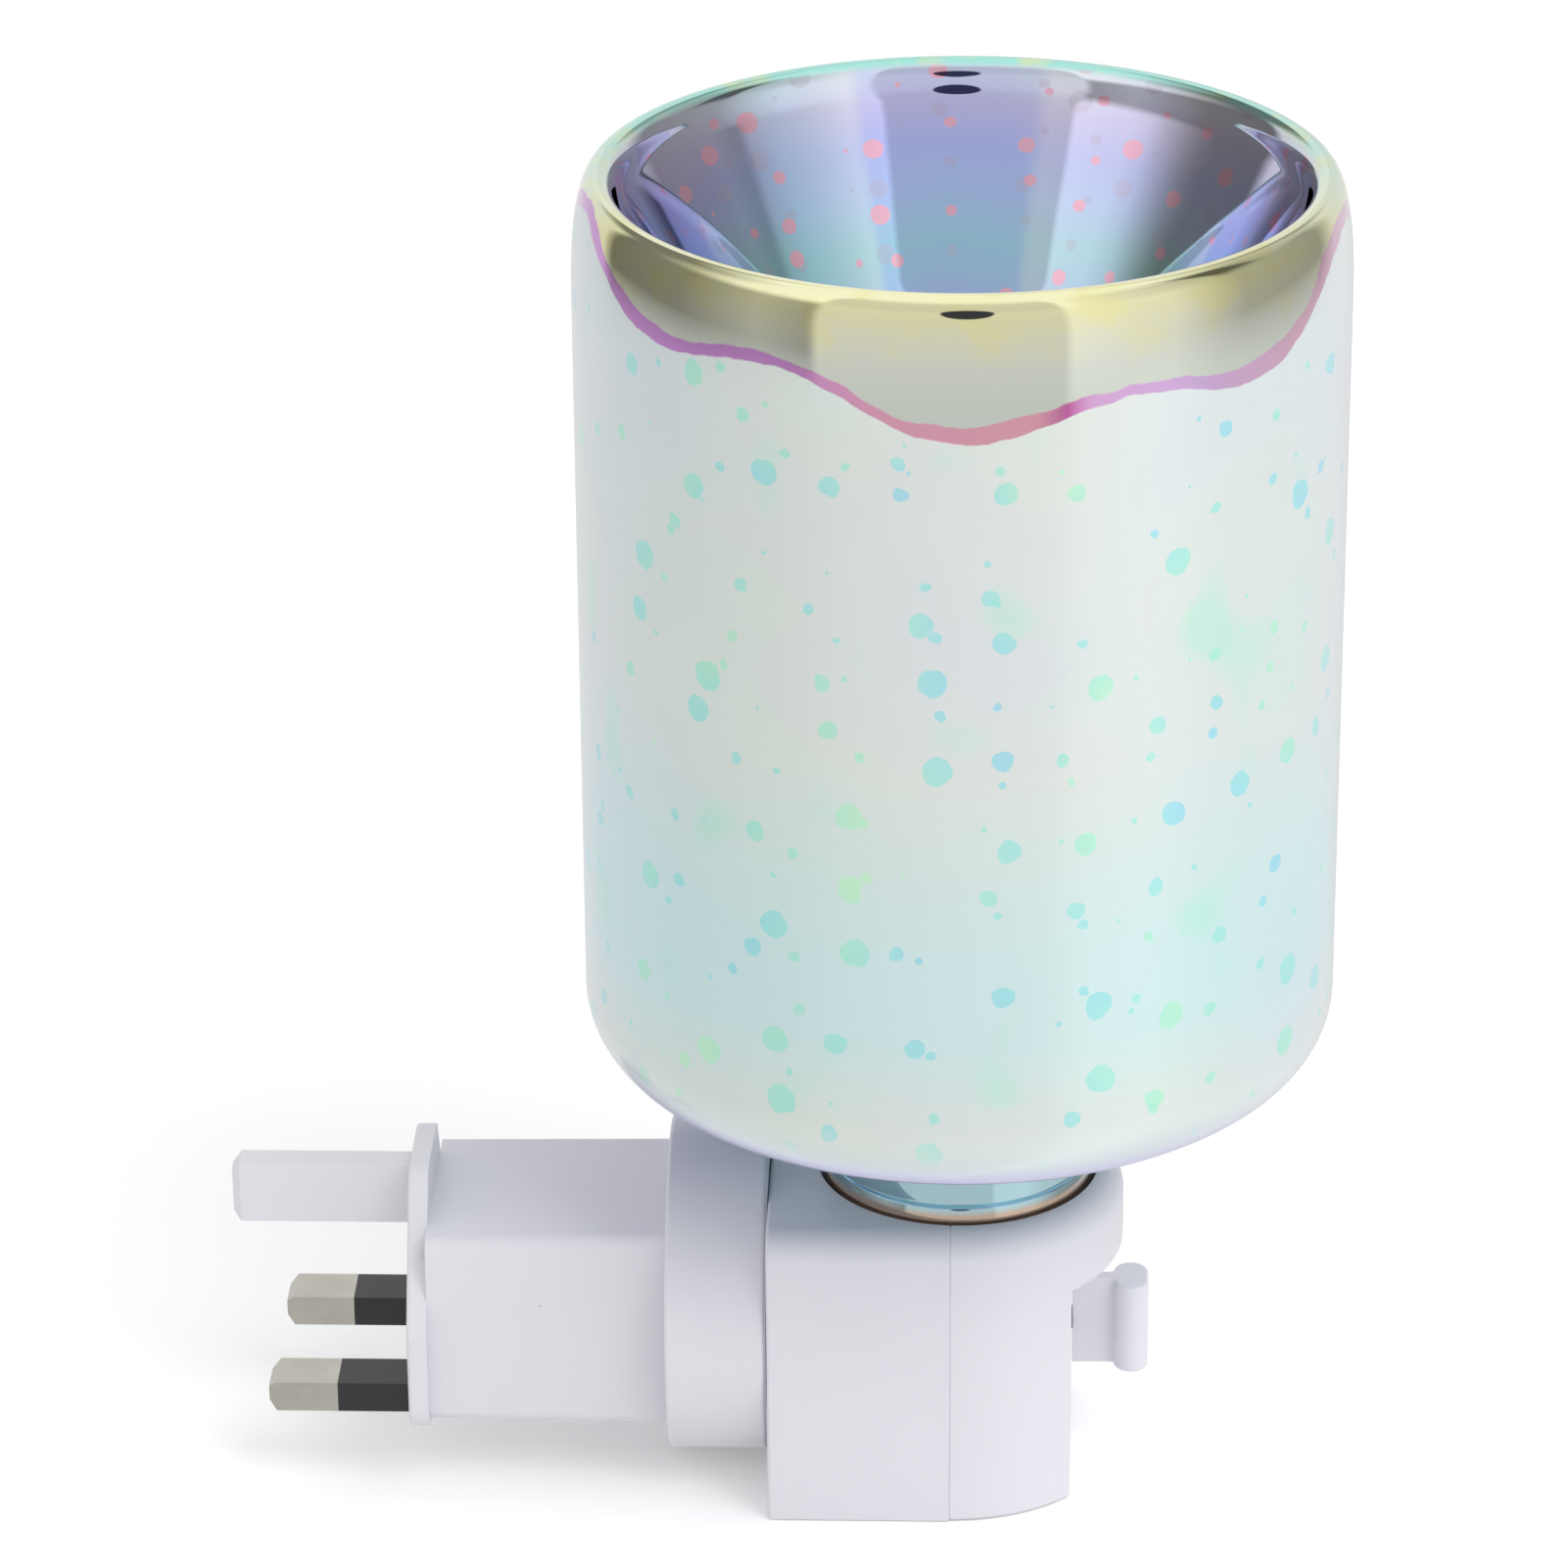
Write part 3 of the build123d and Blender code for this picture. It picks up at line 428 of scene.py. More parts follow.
def grown(name, tree, keys, values, places=()):
    """A plain mesh object made by a node tree from the given input values."""
    seed = bpy.data.meshes.new(f"{name}_places")
    seed.from_pydata([tuple(place) for place in places], [], [])
    host = bpy.data.objects.new(f"{name}_host", seed)
    bpy.context.scene.collection.objects.link(host)
    modifier = host.modifiers.new("Shape", "NODES")
    modifier.node_group = tree
    for key, value in values.items():
        modifier[keys[key]] = value
    bpy.context.view_layer.update()
    graph = bpy.context.evaluated_depsgraph_get()
    mesh = bpy.data.meshes.new_from_object(host.evaluated_get(graph))
    bpy.data.objects.remove(host)
    if not mesh.polygons:
        raise RuntimeError(f"{name} came out empty")
    work = bmesh.new()
    work.from_mesh(mesh)
    bmesh.ops.recalc_face_normals(work, faces=work.faces)
    work.to_mesh(mesh)
    work.free()
    mesh.name = name
    piece = bpy.data.objects.new(name, mesh)
    bpy.context.scene.collection.objects.link(piece)
    return piece


def shared(kind):
    """The lathe or screw tree, made once."""
    if kind not in trees:
        trees[kind] = lathe_tree() if kind == "lathe" else screw_tree(shared("lathe")[0])
    return trees[kind]


def turned(name, knots, steps, count, axis, material):
    """A piece turned about an upright axis from the knots of its section."""
    curve = profile_curve(f"{name}_profile", knots, steps)
    tree, keys = shared("lathe")
    values = {"Profile": curve, "Segments": count, "Axis": axis, "Material": material}
    piece = grown(name, tree, keys, values)
    bpy.data.objects.remove(curve)
    return piece


# Finishes


def finish(name):
    """A new material with its node tree and its main shader."""
    material = bpy.data.materials.new(name)
    material.use_nodes = True
    tree = material.node_tree
    return material, tree, tree.nodes["Principled BSDF"]


def millimetres(tree):
    """Object coordinates in millimetres."""
    place = add(tree, "ShaderNodeTexCoord").outputs["Object"]
    return add(tree, "ShaderNodeMapping", {"Vector": place, "Scale": (1 / MM,) * 3})


def tinted(tree, value, start, end, stops):
    """Colours along a value, with the stops shared out between its start and its end."""
    share = add(tree, "ShaderNodeMapRange", (value, start, end))
    return add(tree, "ShaderNodeValToRGB", (share,), stops)


def laid_over(tree, skin, coat, value, start=0.0, end=1.0, share=1.0):
    """A skin with a coat laid over it, which grows to its share as a value goes to its end."""
    cover = add(tree, "ShaderNodeMapRange", (value, start, end, 0.0, share))
    return add(tree, "ShaderNodeMix", {"Factor": cover, "A": skin, "B": coat}, data_type="RGBA")


def surfaced(name, tones, clouds, grain, stretch, skin, gloss, relief):
    """A material whose tone has slight clouds, and whose gloss and relief follow a fine skin.

    clouds are the scale and detail of the tone's noise, grain is in millimetres, skin is the
    detail and roughness of its noise, gloss the span of the roughness, and relief the strength
    and height of the bumps.
    """
    material, tree, shader = finish(name)
    place = millimetres(tree)
    cloud = add(
        tree, "ShaderNodeTexNoise", {"Vector": place, "Scale": clouds[0], "Detail": clouds[1]}
    )
    tone = laid_over(tree, *tones, cloud)
    drawn = add(tree, "ShaderNodeMapping", {"Vector": place, "Scale": stretch})
    marks = add(
        tree,
        "ShaderNodeTexNoise",
        {"Vector": drawn, "Scale": 1 / grain, "Detail": skin[0], "Roughness": skin[1]},
    )
    worn = add(tree, "ShaderNodeMapRange", (marks, 0.0, 1.0, *gloss))
    bumps = add(
        tree, "ShaderNodeBump", {"Strength": relief[0], "Distance": relief[1], "Height": marks}
    )
    tree.links.new(tone.outputs["Result"], shader.inputs["Base Color"])
    tree.links.new(worn.outputs["Result"], shader.inputs["Roughness"])
    tree.links.new(bumps.outputs["Normal"], shader.inputs["Normal"])
    return material, tree, shader, place, tone, bumps


def plating(name, pale, deep, roughness, grain, stretch=(1, 1, 1)):
    """A metal surface: a cloudy tone, uneven polish and fine marks along one direction."""
    material, _, shader, *_ = surfaced(
        name,
        (rgba(pale), rgba(deep)),
        clouds=(0.18, 3.0),
        grain=grain,
        stretch=stretch,
        skin=(4.0, 0.6),
        gloss=(roughness, roughness + 0.12),
        relief=(0.15, 2e-5),
    )
    shader.inputs["Metallic"].default_value = 1.0
    return material


def moulding(name, pale, deep, roughness, grain, ior=1.54):
    """A moulded plastic or ceramic: slight clouds in its tone and a fine tool texture."""
    material, _, shader, *_ = surfaced(
        name,
        (rgba(pale), rgba(deep)),
        clouds=(0.12, 4.0),
        grain=grain,
        stretch=(1, 1, 1),
        skin=(3.0, 0.55),
        gloss=(roughness - 0.05, roughness + 0.05),
        relief=(0.3, 1e-5),
    )
    shader.inputs["IOR"].default_value = ior
    return material


def white_abs():
    """White ABS, moulded with a satin texture and with a few grey specks in the resin.

    The satin gives the broad soft highlights of the housing's corners. Its grain is drawn at
    0.4 mm, coarser than it is, so that it shows.
    """
    base = tuple(bpy.context.scene.warmer_finish.plastic)
    shaded = [channel * 0.975 for channel in base]
    material, tree, shader, place, tone, fine = surfaced(
        "White moulded ABS",
        ((*shaded, 1), (*base, 1)),
        clouds=(0.09, 4.0),
        grain=0.4,
        stretch=(1, 1, 1),
        skin=(3.0, 0.6),
        gloss=(0.33, 0.45),
        relief=(0.25, 1.2e-5),
    )
    cells = add(
        tree, "ShaderNodeTexVoronoi", {"Vector": place, "Scale": 1 / 7, "Randomness": 1.0}
    )
    chance = add(tree, "ShaderNodeSeparateColor", (cells.outputs["Color"],))
    size = add(tree, "ShaderNodeMapRange", (chance, 0.6, 1.0, 0.0, 0.022))
    speck = add(tree, "ShaderNodeMath", (cells, size), operation="LESS_THAN")
    spotted = laid_over(tree, tone, rgba("8d9096"), speck, share=0.55)
    tree.links.new(spotted.outputs["Result"], shader.inputs["Base Color"])
    sink = add(tree, "ShaderNodeTexNoise", {"Vector": place, "Scale": 0.06, "Detail": 1.0})
    broad = add(tree, "ShaderNodeBump", {"Strength": 0.4, "Distance": 1.2e-4, "Height": sink})
    tree.links.new(broad.outputs["Normal"], fine.inputs["Normal"])
    shader.inputs["IOR"].default_value = 1.54
    return material


def clear_glass():
    """Blown soda-lime glass of a lamp's envelope.

    The faint ripples from the drawing bend what is seen through it.
    """
    material, tree, shader = finish("Blown lamp glass")
    place = millimetres(tree)
    ripple = add(tree, "ShaderNodeTexNoise", {"Vector": place, "Scale": 0.15, "Detail": 1.0})
    waves = add(tree, "ShaderNodeBump", {"Strength": 0.3, "Distance": 1e-4, "Height": ripple})
    tree.links.new(waves.outputs["Normal"], shader.inputs["Normal"])
    shader.inputs["Base Color"].default_value = rgba("f4f8f7")
    shader.inputs["Roughness"].default_value = 0.02
    shader.inputs["IOR"].default_value = 1.52
    shader.inputs["Transmission Weight"].default_value = 1.0
    return material


def unrolled(tree, turn, height, radius, slant=1.0):
    """The skin rolled out flat: millimetres round the axis at a radius, and down the wall."""
    along = add(tree, "ShaderNodeMath", (turn, radius), operation="MULTIPLY")
    down = add(tree, "ShaderNodeMath", (height, slant), operation="MULTIPLY")
    return add(tree, "ShaderNodeCombineXYZ", (along, down))


def dots(tree, sheet, cell, small, large, reach):
    """Mask of round spots, one in a cell of that many millimetres, on the rolled-out skin.

    No spot lies across the seam at the reach.
    """
    bare = 0.3  # share of the cells that stay without a spot
    soft = 0.14  # millimetres over which a spot's edge fades
    cells = add(
        tree,
        "ShaderNodeTexVoronoi",
        {"Vector": sheet, "Scale": 1 / cell, "Randomness": 0.9},
        voronoi_dimensions="2D",
    )
    chance = add(tree, "ShaderNodeSeparateColor", (cells.outputs["Color"],))
    centre = add(tree, "ShaderNodeSeparateXYZ", (cells.outputs["Position"],))
    away = add(tree, "ShaderNodeMath", (centre,), operation="ABSOLUTE")
    whole = add(tree, "ShaderNodeMath", (away, reach - large), operation="LESS_THAN")
    radius = add(tree, "ShaderNodeMapRange", (chance, bare, 1.0, small / cell, large / cell))
    gap = add(tree, "ShaderNodeMath", (radius, cells), operation="SUBTRACT")
    spot = add(tree, "ShaderNodeMapRange", (gap, 0.0, soft / cell))
    present = add(tree, "ShaderNodeMath", (chance, bare), operation="GREATER_THAN")
    shown = add(tree, "ShaderNodeMath", (present, whole), operation="MULTIPLY")
    return add(tree, "ShaderNodeMath", (spot, shown), operation="MULTIPLY")


def wavy_edge(tree, place, turn):
    """Height of the mirror band's lower edge round the shade, a sum of a few waves."""
    edge = -10.9
    for count, phase, swing in ((2, 159.0, 5.0), (5, 4.0, 0.7), (7, 183.0, 2.6)):
        swung = add(
            tree, "ShaderNodeMath", (turn, count, radians(phase)), operation="MULTIPLY_ADD"
        )
        wave = add(tree, "ShaderNodeMath", (swung,), operation="COSINE")
        edge = add(tree, "ShaderNodeMath", (wave, swing, edge), operation="MULTIPLY_ADD")
    wobble = add(
        tree,
        "ShaderNodeTexNoise",
        {"Vector": place, "Scale": 1 / 4, "Detail": 3.0, "Roughness": mottle},
    )
    return add(tree, "ShaderNodeMath", (wobble, 1.2, edge), operation="MULTIPLY_ADD")


def pearl_skin(tree, place, turn, height):
    """Colour of the half-mirror below the band: clouded pearl, coloured dots and a violet foot.

    Heights, here and in the skins below, are millimetres from the crest.
    """
    pearl = (*bpy.context.scene.warmer_finish.pearl, 1)
    clouds, tints, blots = (
        add(
            tree,
            "ShaderNodeTexNoise",
            {"Vector": place, "Scale": 1 / size, "Detail": detail, "Roughness": mottle},
        )
        for size, detail in ((34, 1.5), (20, 1.5), (12, 0.5))
    )
    haze = add(
        tree,
        "ShaderNodeValToRGB",
        (clouds,),
        [(0.3, "dfe0ec"), (0.42, "e0e6ec"), (0.5, "e3e4e6"), (0.6, "e3e8e4"), (0.7, "dceae8")],
    )
    skin = add(tree, "ShaderNodeMix", {"Factor": 0.55, "A": pearl, "B": haze}, data_type="RGBA")
    above = add(tree, "ShaderNodeMapRange", (height, -58.0, -80.0))
    below = add(tree, "ShaderNodeMapRange", (height, -92.0, -103.0, 0.62, 0.0))
    cool = add(tree, "ShaderNodeMath", (above, below), operation="MULTIPLY")
    skin = laid_over(tree, skin, rgba("c8e9ef"), cool)
    warp = add(tree, "ShaderNodeTexNoise", {"Vector": place, "Scale": 0.4, "Detail": 1.5})
    flat = unrolled(tree, turn, height, shade_reach)
    sheet = add(
        tree,
        "ShaderNodeVectorMath",
        (warp.outputs["Color"], (1.1, 1.1, 0.0), flat),
        operation="MULTIPLY_ADD",
    )
    tone = add(
        tree,
        "ShaderNodeValToRGB",
        (tints,),
        [(0.3, "92d4f0"), (0.4, "93e0ec"), (0.5, "9fe8e0"), (0.6, "aceed2"), (0.7, "c2f4cc")],
    )
    for cell, small, large in ((9.8, 0.75, 2.0), (8.6, 0.25, 0.85)):
        spots = dots(tree, sheet, cell, small, large, shade_reach * pi)
        skin = laid_over(tree, skin, tone, spots, share=0.78)
    skin = laid_over(tree, skin, rgba("aeeeda"), blots, 0.67, 0.8, 0.5)
    foot = tinted(
        tree,
        height,
        -98.0,
        -113.4,
        [(0.0, "e8eeea"), (0.45, "f0f5ee"), (0.7, "e6eaf4"), (0.84, "cfcaf2"), (0.93, "9a90dc")],
    )
    return laid_over(tree, skin, foot, height, -103.0, -110.0)


def band_skin(tree, place, height, over, turn):
    """Colour of the mirror band: yellow crest, grey-olive shoulder and a violet to pink fringe,
    partly painted reflection.
    """
    near_side = add(tree, "ShaderNodeMath", (turn,), operation="COSINE")
    patches, ribbon = (
        add(
            tree,
            "ShaderNodeTexNoise",
            {"Vector": place, "Scale": 1 / size, "Detail": detail, "Roughness": mottle},
        )
        for size, detail in ((6, 2.0), (13, 0.6))
    )
    # The crest's tint is partly the plating's own colour and partly painted highlight: pale yellow
    # on the side facing the camera, where the ceiling reflects, teal on the far side.
    crest = tinted(
        tree,
        near_side,
        -1.0,
        1.0,
        [(0.0, "a8ece0"), (0.3, "b8efe4"), (0.5, "d8f0dc"), (0.66, "eef2cc"), (1.0, "fbf9c8")],
    )
    shoulder = tinted(
        tree,
        height,
        0.0,
        -16.0,
        [(0.0, "f4f0b4"), (0.12, "f0edb8"), (0.3, "e8e7cc"), (0.5, "dfe3d6"), (1.0, "d8e0d6")],
    )
    skin = laid_over(tree, crest, shoulder, height, -0.6, -2.2)
    stains = add(tree, "ShaderNodeMapRange", (patches, 0.5, 0.66, 0.0, 0.5))
    upper = add(tree, "ShaderNodeMapRange", (height, -9.0, -4.0))
    stains = add(tree, "ShaderNodeMath", (stains, upper), operation="MULTIPLY")
    skin = laid_over(tree, skin, rgba("f2eda0"), stains)
    # The fringe is the plating's violet-pink, with painted reflection streaks toward the camera's
    # side: the narrow dark magenta stop and the pale pinks round it.
    fringe = tinted(
        tree,
        turn,
        -pi,
        pi,
        [
            (0.0, "dcaee6"), (0.3, "cf86dc"), (0.43, "d48ada"), (0.465, "eaa0c0"),
            (0.53, "f0a6b8"), (0.543, "cc4aa6"), (0.552, "e0a8e0"), (0.6, "d8b0e4"),
            (0.66, "eab4cc"), (0.8, "dcb4e6"),
        ],
    )
    width = add(tree, "ShaderNodeMath", (ribbon, 4.4, -0.25), operation="MULTIPLY_ADD")
    left = add(tree, "ShaderNodeMath", (width, over), operation="SUBTRACT")
    return laid_over(tree, skin, fringe, left, -0.12, 0.12, 0.92)


def dish_skin(tree, place, turn, reach, height):
    """Colour of the dish's mirror: lavender, blue and teal by depth, with pink spots, and painted
    reflections round its wall.
    """
    wall = add(tree, "ShaderNodeMapRange", (reach, 21.0, 27.0))
    floor = add(tree, "ShaderNodeMapRange", (reach, 21.0, 24.0, 1.0, 0.0))
    clouds = add(
        tree,
        "ShaderNodeTexNoise",
        {"Vector": place, "Scale": 1 / 22, "Detail": 1.5, "Roughness": mottle},
    )
    drift = add(tree, "ShaderNodeMath", (clouds, 9.0, height), operation="MULTIPLY_ADD")
    skin = tinted(
        tree,
        drift,
        4.0,
        -28.0,
        [
            (0.0, "dfe8f4"), (0.15, "cfc2f4"), (0.3, "aeb6fc"), (0.46, "a2c4f8"),
            (0.62, "84d2de"), (0.76, "8cc4e4"), (0.9, "a9aeea"), (1.0, "c0b0e6"),
        ],
    )
    # Painted reflections on the dish's wall: bright streaks and grey-brown and olive patches,
    # fixed by the bearing round the axis.
    painted_reflections = tinted(
        tree,
        turn,
        -pi,
        pi,
        [
            (0.0, "c2cef8"), (0.05, "c2cef8"), (0.057, "f4fcfe"), (0.1, "c8f0f8"),
            (0.15, "b9b2b4"), (0.24, "b4aeb6"), (0.3, "bfeaf4"), (0.42, "d4d8f0"),
            (0.6, "d4d8f0"), (0.72, "b4c4e6"), (0.8, "e4e6ee"), (0.87, "c9c49a"),
            (0.9, "dadbe6"), (0.958, "f6f3fc"), (0.966, "c2cef8"),
        ],
    )
    skin = laid_over(tree, skin, painted_reflections, wall, share=0.42)
    sheet = unrolled(tree, turn, height, dish_reach, 1.13)
    ghost = add(tree, "ShaderNodeMapping", {"Vector": sheet, "Location": (0, 4.9, 0)})
    layers = (
        (ghost, wall, 0.35, "c4b6c8"),
        (sheet, wall, 0.9, "f6b6ca"),
        (place, floor, 0.7, "f6b6ca"),
    )
    for spread, where, share, shade in layers:
        spots = dots(tree, spread, 6.6, 0.3, 1.4, dish_reach * pi)
        spots = add(tree, "ShaderNodeMath", (spots, where), operation="MULTIPLY")
        skin = laid_over(tree, skin, rgba(shade), spots, share=share)
    return skin


def coated_glass():
    """Blown glass with a vacuum-plated iridescent skin.

    A mirror in the dish and on the shoulder, a pearly half-mirror with dots below a wavy edge.
    """
    material, tree, shader = finish("Plated pearl glass")
    place = add(
        tree,
        "ShaderNodeMapping",
        {
            "Vector": add(tree, "ShaderNodeTexCoord").outputs["Object"],
            "Location": (axis_point.x / MM, axis_point.y / MM, -shade_high.z / MM),
            "Rotation": (0, 0, pi),
            "Scale": (1 / MM,) * 3,
        },
    )
    parts = add(tree, "ShaderNodeSeparateXYZ", (place,)).outputs
    level = add(tree, "ShaderNodeMapping", {"Vector": place, "Scale": (1, 1, 0)})
    reach = add(tree, "ShaderNodeVectorMath", (level,), operation="LENGTH")
    turn = add(tree, "ShaderNodeMath", (parts["Y"], parts["X"]), operation="ARCTAN2")
    height = parts["Z"]
    edge = wavy_edge(tree, place, turn)
    over = add(tree, "ShaderNodeMath", (height, edge), operation="SUBTRACT")
    band = add(tree, "ShaderNodeMapRange", (over, 0.0, 0.18))
    inside = add(tree, "ShaderNodeMapRange", (reach, 41.2, 41.8, 1.0, 0.0))
    shallow = add(tree, "ShaderNodeMapRange", (height, -37.0, -36.0))
    dish = add(tree, "ShaderNodeMath", (inside, shallow), operation="MULTIPLY")
    under = add(tree, "ShaderNodeMapRange", (height, -112.0, -113.0))
    neck = tinted(
        tree,
        reach,
        40.0,
        16.0,
        [(0.0, "9a90dc"), (0.3, "b4c4ec"), (0.7, "b2dce6"), (1.0, "b4d8e0")],
    )
    # A brown ring on the bead's lower end, just above the housing's well: painted shade where the
    # glass sits on the housing.
    neck = laid_over(tree, neck, rgba("d0b49c"), height, -128.6, -129.4)
    skin = pearl_skin(tree, place, turn, height)
    skin = laid_over(tree, skin, band_skin(tree, place, height, over, turn), band)
    skin = laid_over(tree, skin, dish_skin(tree, place, turn, reach, height), dish)
    skin = laid_over(tree, skin, neck, under)
    plated = add(tree, "ShaderNodeMath", (band, dish), operation="MAXIMUM")
    plated = add(tree, "ShaderNodeMath", (plated, under), operation="MAXIMUM")
    metal = add(tree, "ShaderNodeMapRange", (plated, 0.0, 1.0, 0.34, 1.0))
    polish = add(tree, "ShaderNodeMapRange", (plated, 0.0, 1.0, 0.25, 0.03))
    swell = add(
        tree,
        "ShaderNodeTexNoise",
        {"Vector": place, "Scale": 1 / 18, "Detail": 1.0, "Roughness": mottle},
    )
    waves = add(tree, "ShaderNodeBump", {"Strength": 0.4, "Distance": 2.5e-4, "Height": swell})
    tree.links.new(skin.outputs["Result"], shader.inputs["Base Color"])
    tree.links.new(metal.outputs["Result"], shader.inputs["Metallic"])
    tree.links.new(polish.outputs["Result"], shader.inputs["Roughness"])
    tree.links.new(waves.outputs["Normal"], shader.inputs["Normal"])
    shader.inputs["Coat Weight"].default_value = 0.8
    shader.inputs["Coat Roughness"].default_value = 0.02
    shader.inputs["Thin Film Thickness"].default_value = 420
    shader.inputs["Thin Film IOR"].default_value = 1.7
    return material


def dress(material, slot, *names):
    """Gives CAD nodes their material. The slot argument is not used."""
    for name in names:
        node = nodes[name]
        node.data.materials.clear()
        node.data.materials.append(material)
        for face in node.data.polygons:
            face.material_index = 0


# Pieces


def shade_profile(sizes):
    """Knots of the shade's section, from the middle of the dish round to the dish's underside."""
    radius = (shade_high.x - shade_low.x) / 2
    crest = shade_high.z
    end = shade_low.z
    lean = tan(sizes.dish_slope)
    throat_lean = tan(sizes.throat_slope)
    spread = 0.65  # how full the rim's curves are
    fullness = 0.62  # and the shoulder's
    dish = crest - sizes.dish_depth
    throat = crest - sizes.throat_drop
    throat_radius = radius - sizes.throat_inset
    knee = crest - sizes.knee_drop
    knee_radius = throat_radius - (sizes.knee_drop - sizes.throat_drop) * throat_lean
    crest_radius = radius - sizes.crest_inset
    floor_radius = knee_radius - (sizes.dish_depth - sizes.knee_drop) * lean
    shoulder = crest - sizes.shoulder_drop
    foot = end + sizes.foot_height
    bead_top = end + sizes.bead_height
    bead_foot = end + sizes.bead_height / 4
    wall = sizes.wall
    slant = wall / cos(sizes.dish_slope)
    rim = crest - sizes.rim_fill
    rim_radius = knee_radius + (rim - knee) * lean + slant
    throat_rise = sizes.throat_drop / 2
    corner_radius = sizes.dish_corner + wall
    return joined(
        rounded(
            [
                (0, dish, 0),
                (floor_radius, dish, sizes.dish_corner),
                (knee_radius, knee, sizes.knee_radius),
                (throat_radius, throat, 0),
            ]
        ),
        bent(
            (throat_radius, throat),
            (throat_radius + throat_rise * throat_lean, throat + throat_rise),
            (crest_radius - (crest_radius - throat_radius) * spread, crest),
            (crest_radius, crest),
        ),
        bent(
            (crest_radius, crest),
            (crest_radius + sizes.crest_inset * spread, crest),
            (radius, shoulder + sizes.shoulder_drop * fullness),
            (radius, shoulder),
        ),
        rounded(
            [
                (radius, shoulder, 0),
                (radius, foot, sizes.foot_corner),
                (sizes.neck_radius, foot, sizes.neck_fillet),
                (sizes.neck_radius, bead_top, 0),
            ]
        ),
        bent(
            (sizes.neck_radius, bead_top),
            (sizes.bead_radius, bead_top),
            (sizes.bead_radius, end + sizes.bead_height / 2),
            (sizes.bead_radius, bead_foot),
        ),
        rounded(
            [
                (sizes.bead_radius, bead_foot, 0),
                (sizes.neck_radius, end, sizes.neck_edge),
                (sizes.neck_radius - wall, end, sizes.neck_edge),
                (sizes.neck_radius - wall, foot + wall, sizes.neck_fillet + wall),
                (radius - wall, foot + wall, sizes.foot_corner - wall),
                (radius - wall, rim - sizes.rim_tip, 0),
            ]
        ),
        bent(
            (radius - wall, rim - sizes.rim_tip),
            (radius - wall, rim + sizes.rim_tip),
            (rim_radius, rim + sizes.rim_tip),
            (rim_radius, rim),
        ),
        rounded(
            [
                (rim_radius, rim, 0),
                (floor_radius + slant - wall * lean, dish - wall, corner_radius),
                (0, dish - wall, 0),
            ]
        ),
    )


class WARMER_OT_shade(bpy.types.Operator):
    """Blow the glass shade with its wax dish, and plate it"""

    bl_idname = "warmer.shade"
    bl_label = "Glass Shade"

    def execute(self, context):
        sizes = context.scene.warmer_shade
        piece = turned(
            "glass_shade_coated",
            shade_profile(sizes),
            steps=12,
            count=sizes.segments,
            axis=axis_point,
            material=coated_glass(),
        )
        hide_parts("glass_shade")
        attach(piece, "shade")
        return {"FINISHED"}


def lamp_profile(sizes):
    """Knots of the envelope's section: outer skin from the neck up, inner skin back down."""
    radius = (lamp_high.x - lamp_low.x) / 2
    top = lamp_high.z
    bottom = lamp_low.z
    middle = top - radius
    neck = bottom + sizes.neck_height
    shoulder = bottom + sizes.shoulder_height
    knots = []
    for inset in (0, sizes.wall):
        thin, wide = sizes.neck_radius - inset, radius - inset
        bend = wide * 4 / 3 * tan(pi / 8)
        half = (neck + shoulder) / 2
        low = bottom + inset
        run = joined(
            rounded([(0, low, 0), (thin, low, 0), (thin, neck, 0)]),
            bent((thin, neck), (thin, half), (wide, half), (wide, shoulder)),
            rounded([(wide, shoulder, 0), (wide, middle, 0)]),
            bent((wide, middle), (wide, middle + bend), (bend, top - inset), (0, top - inset)),
        )
        if inset:
            run = [(place, ahead, back) for place, back, ahead in reversed(run)]
        knots.append(run)
    return [*knots[0], *knots[1]]


class WARMER_OT_lamp(bpy.types.Operator):
    """Make the lamp: its clear envelope, cap, insulator, stem and filament"""

    bl_idname = "warmer.lamp"
    bl_label = "Lamp"

    def execute(self, context):
        sizes = context.scene.warmer_lamp
        glass = clear_glass()
        piece = turned(
            "lamp_envelope",
            lamp_profile(sizes),
            steps=10,
            count=sizes.segments,
            axis=axis_point,
            material=glass,
        )
        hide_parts("lamp_glass")
        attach(piece, "housing")
        dress(glass, "lamp_glass", "lamp_stem")
        # Plated sheet: bright, a little warm, with soft unevenness from the spinning.
        cap = plating("Nickel-plated lamp cap", "c9c6bd", "aeaba3", 0.22, 0.5)
        dress(cap, "lamp_cap", "lamp_cap", "lamp_tip")
        # Fused glass: near black, with hard small highlights.
        bead = moulding("Black vitrite insulator", "17181a", "222326", 0.12, 0.6, ior=1.6)
        dress(bead, "lamp_insulator", "lamp_insulator")
        # Drawn through dies: a dull grey wire with little sparkle.
        wire = plating("Drawn tungsten wire", "8a8c90", "6d6f73", 0.35, 0.2)
        dress(wire, "filament_metal", "lamp_filament")
        return {"FINISHED"}


class WARMER_OT_holder(bpy.types.Operator):
    """Finish the lampholder: its body, screw shell, centre contact and terminals"""

    bl_idname = "warmer.holder"
    bl_label = "Lampholder"

    def execute(self, context):
        # Filled plastic: a matt, slightly yellow white beside the housing's.
        body = moulding("Moulded PBT lampholder", "e6e3da", "dcd8cd", 0.42, 0.35)
        dress(body, "holder_plastic", "lampholder_body")
        # Rolled sheet: yellow, with faint lines along the rolling.
        strip = plating("Rolled brass strip", "cfa95a", "b98f45", 0.2, 0.3, (1, 0.1, 1))
        dress(strip, "contact_brass", "screw_shell", "centre_contact", "holder_terminals")
        return {"FINISHED"}


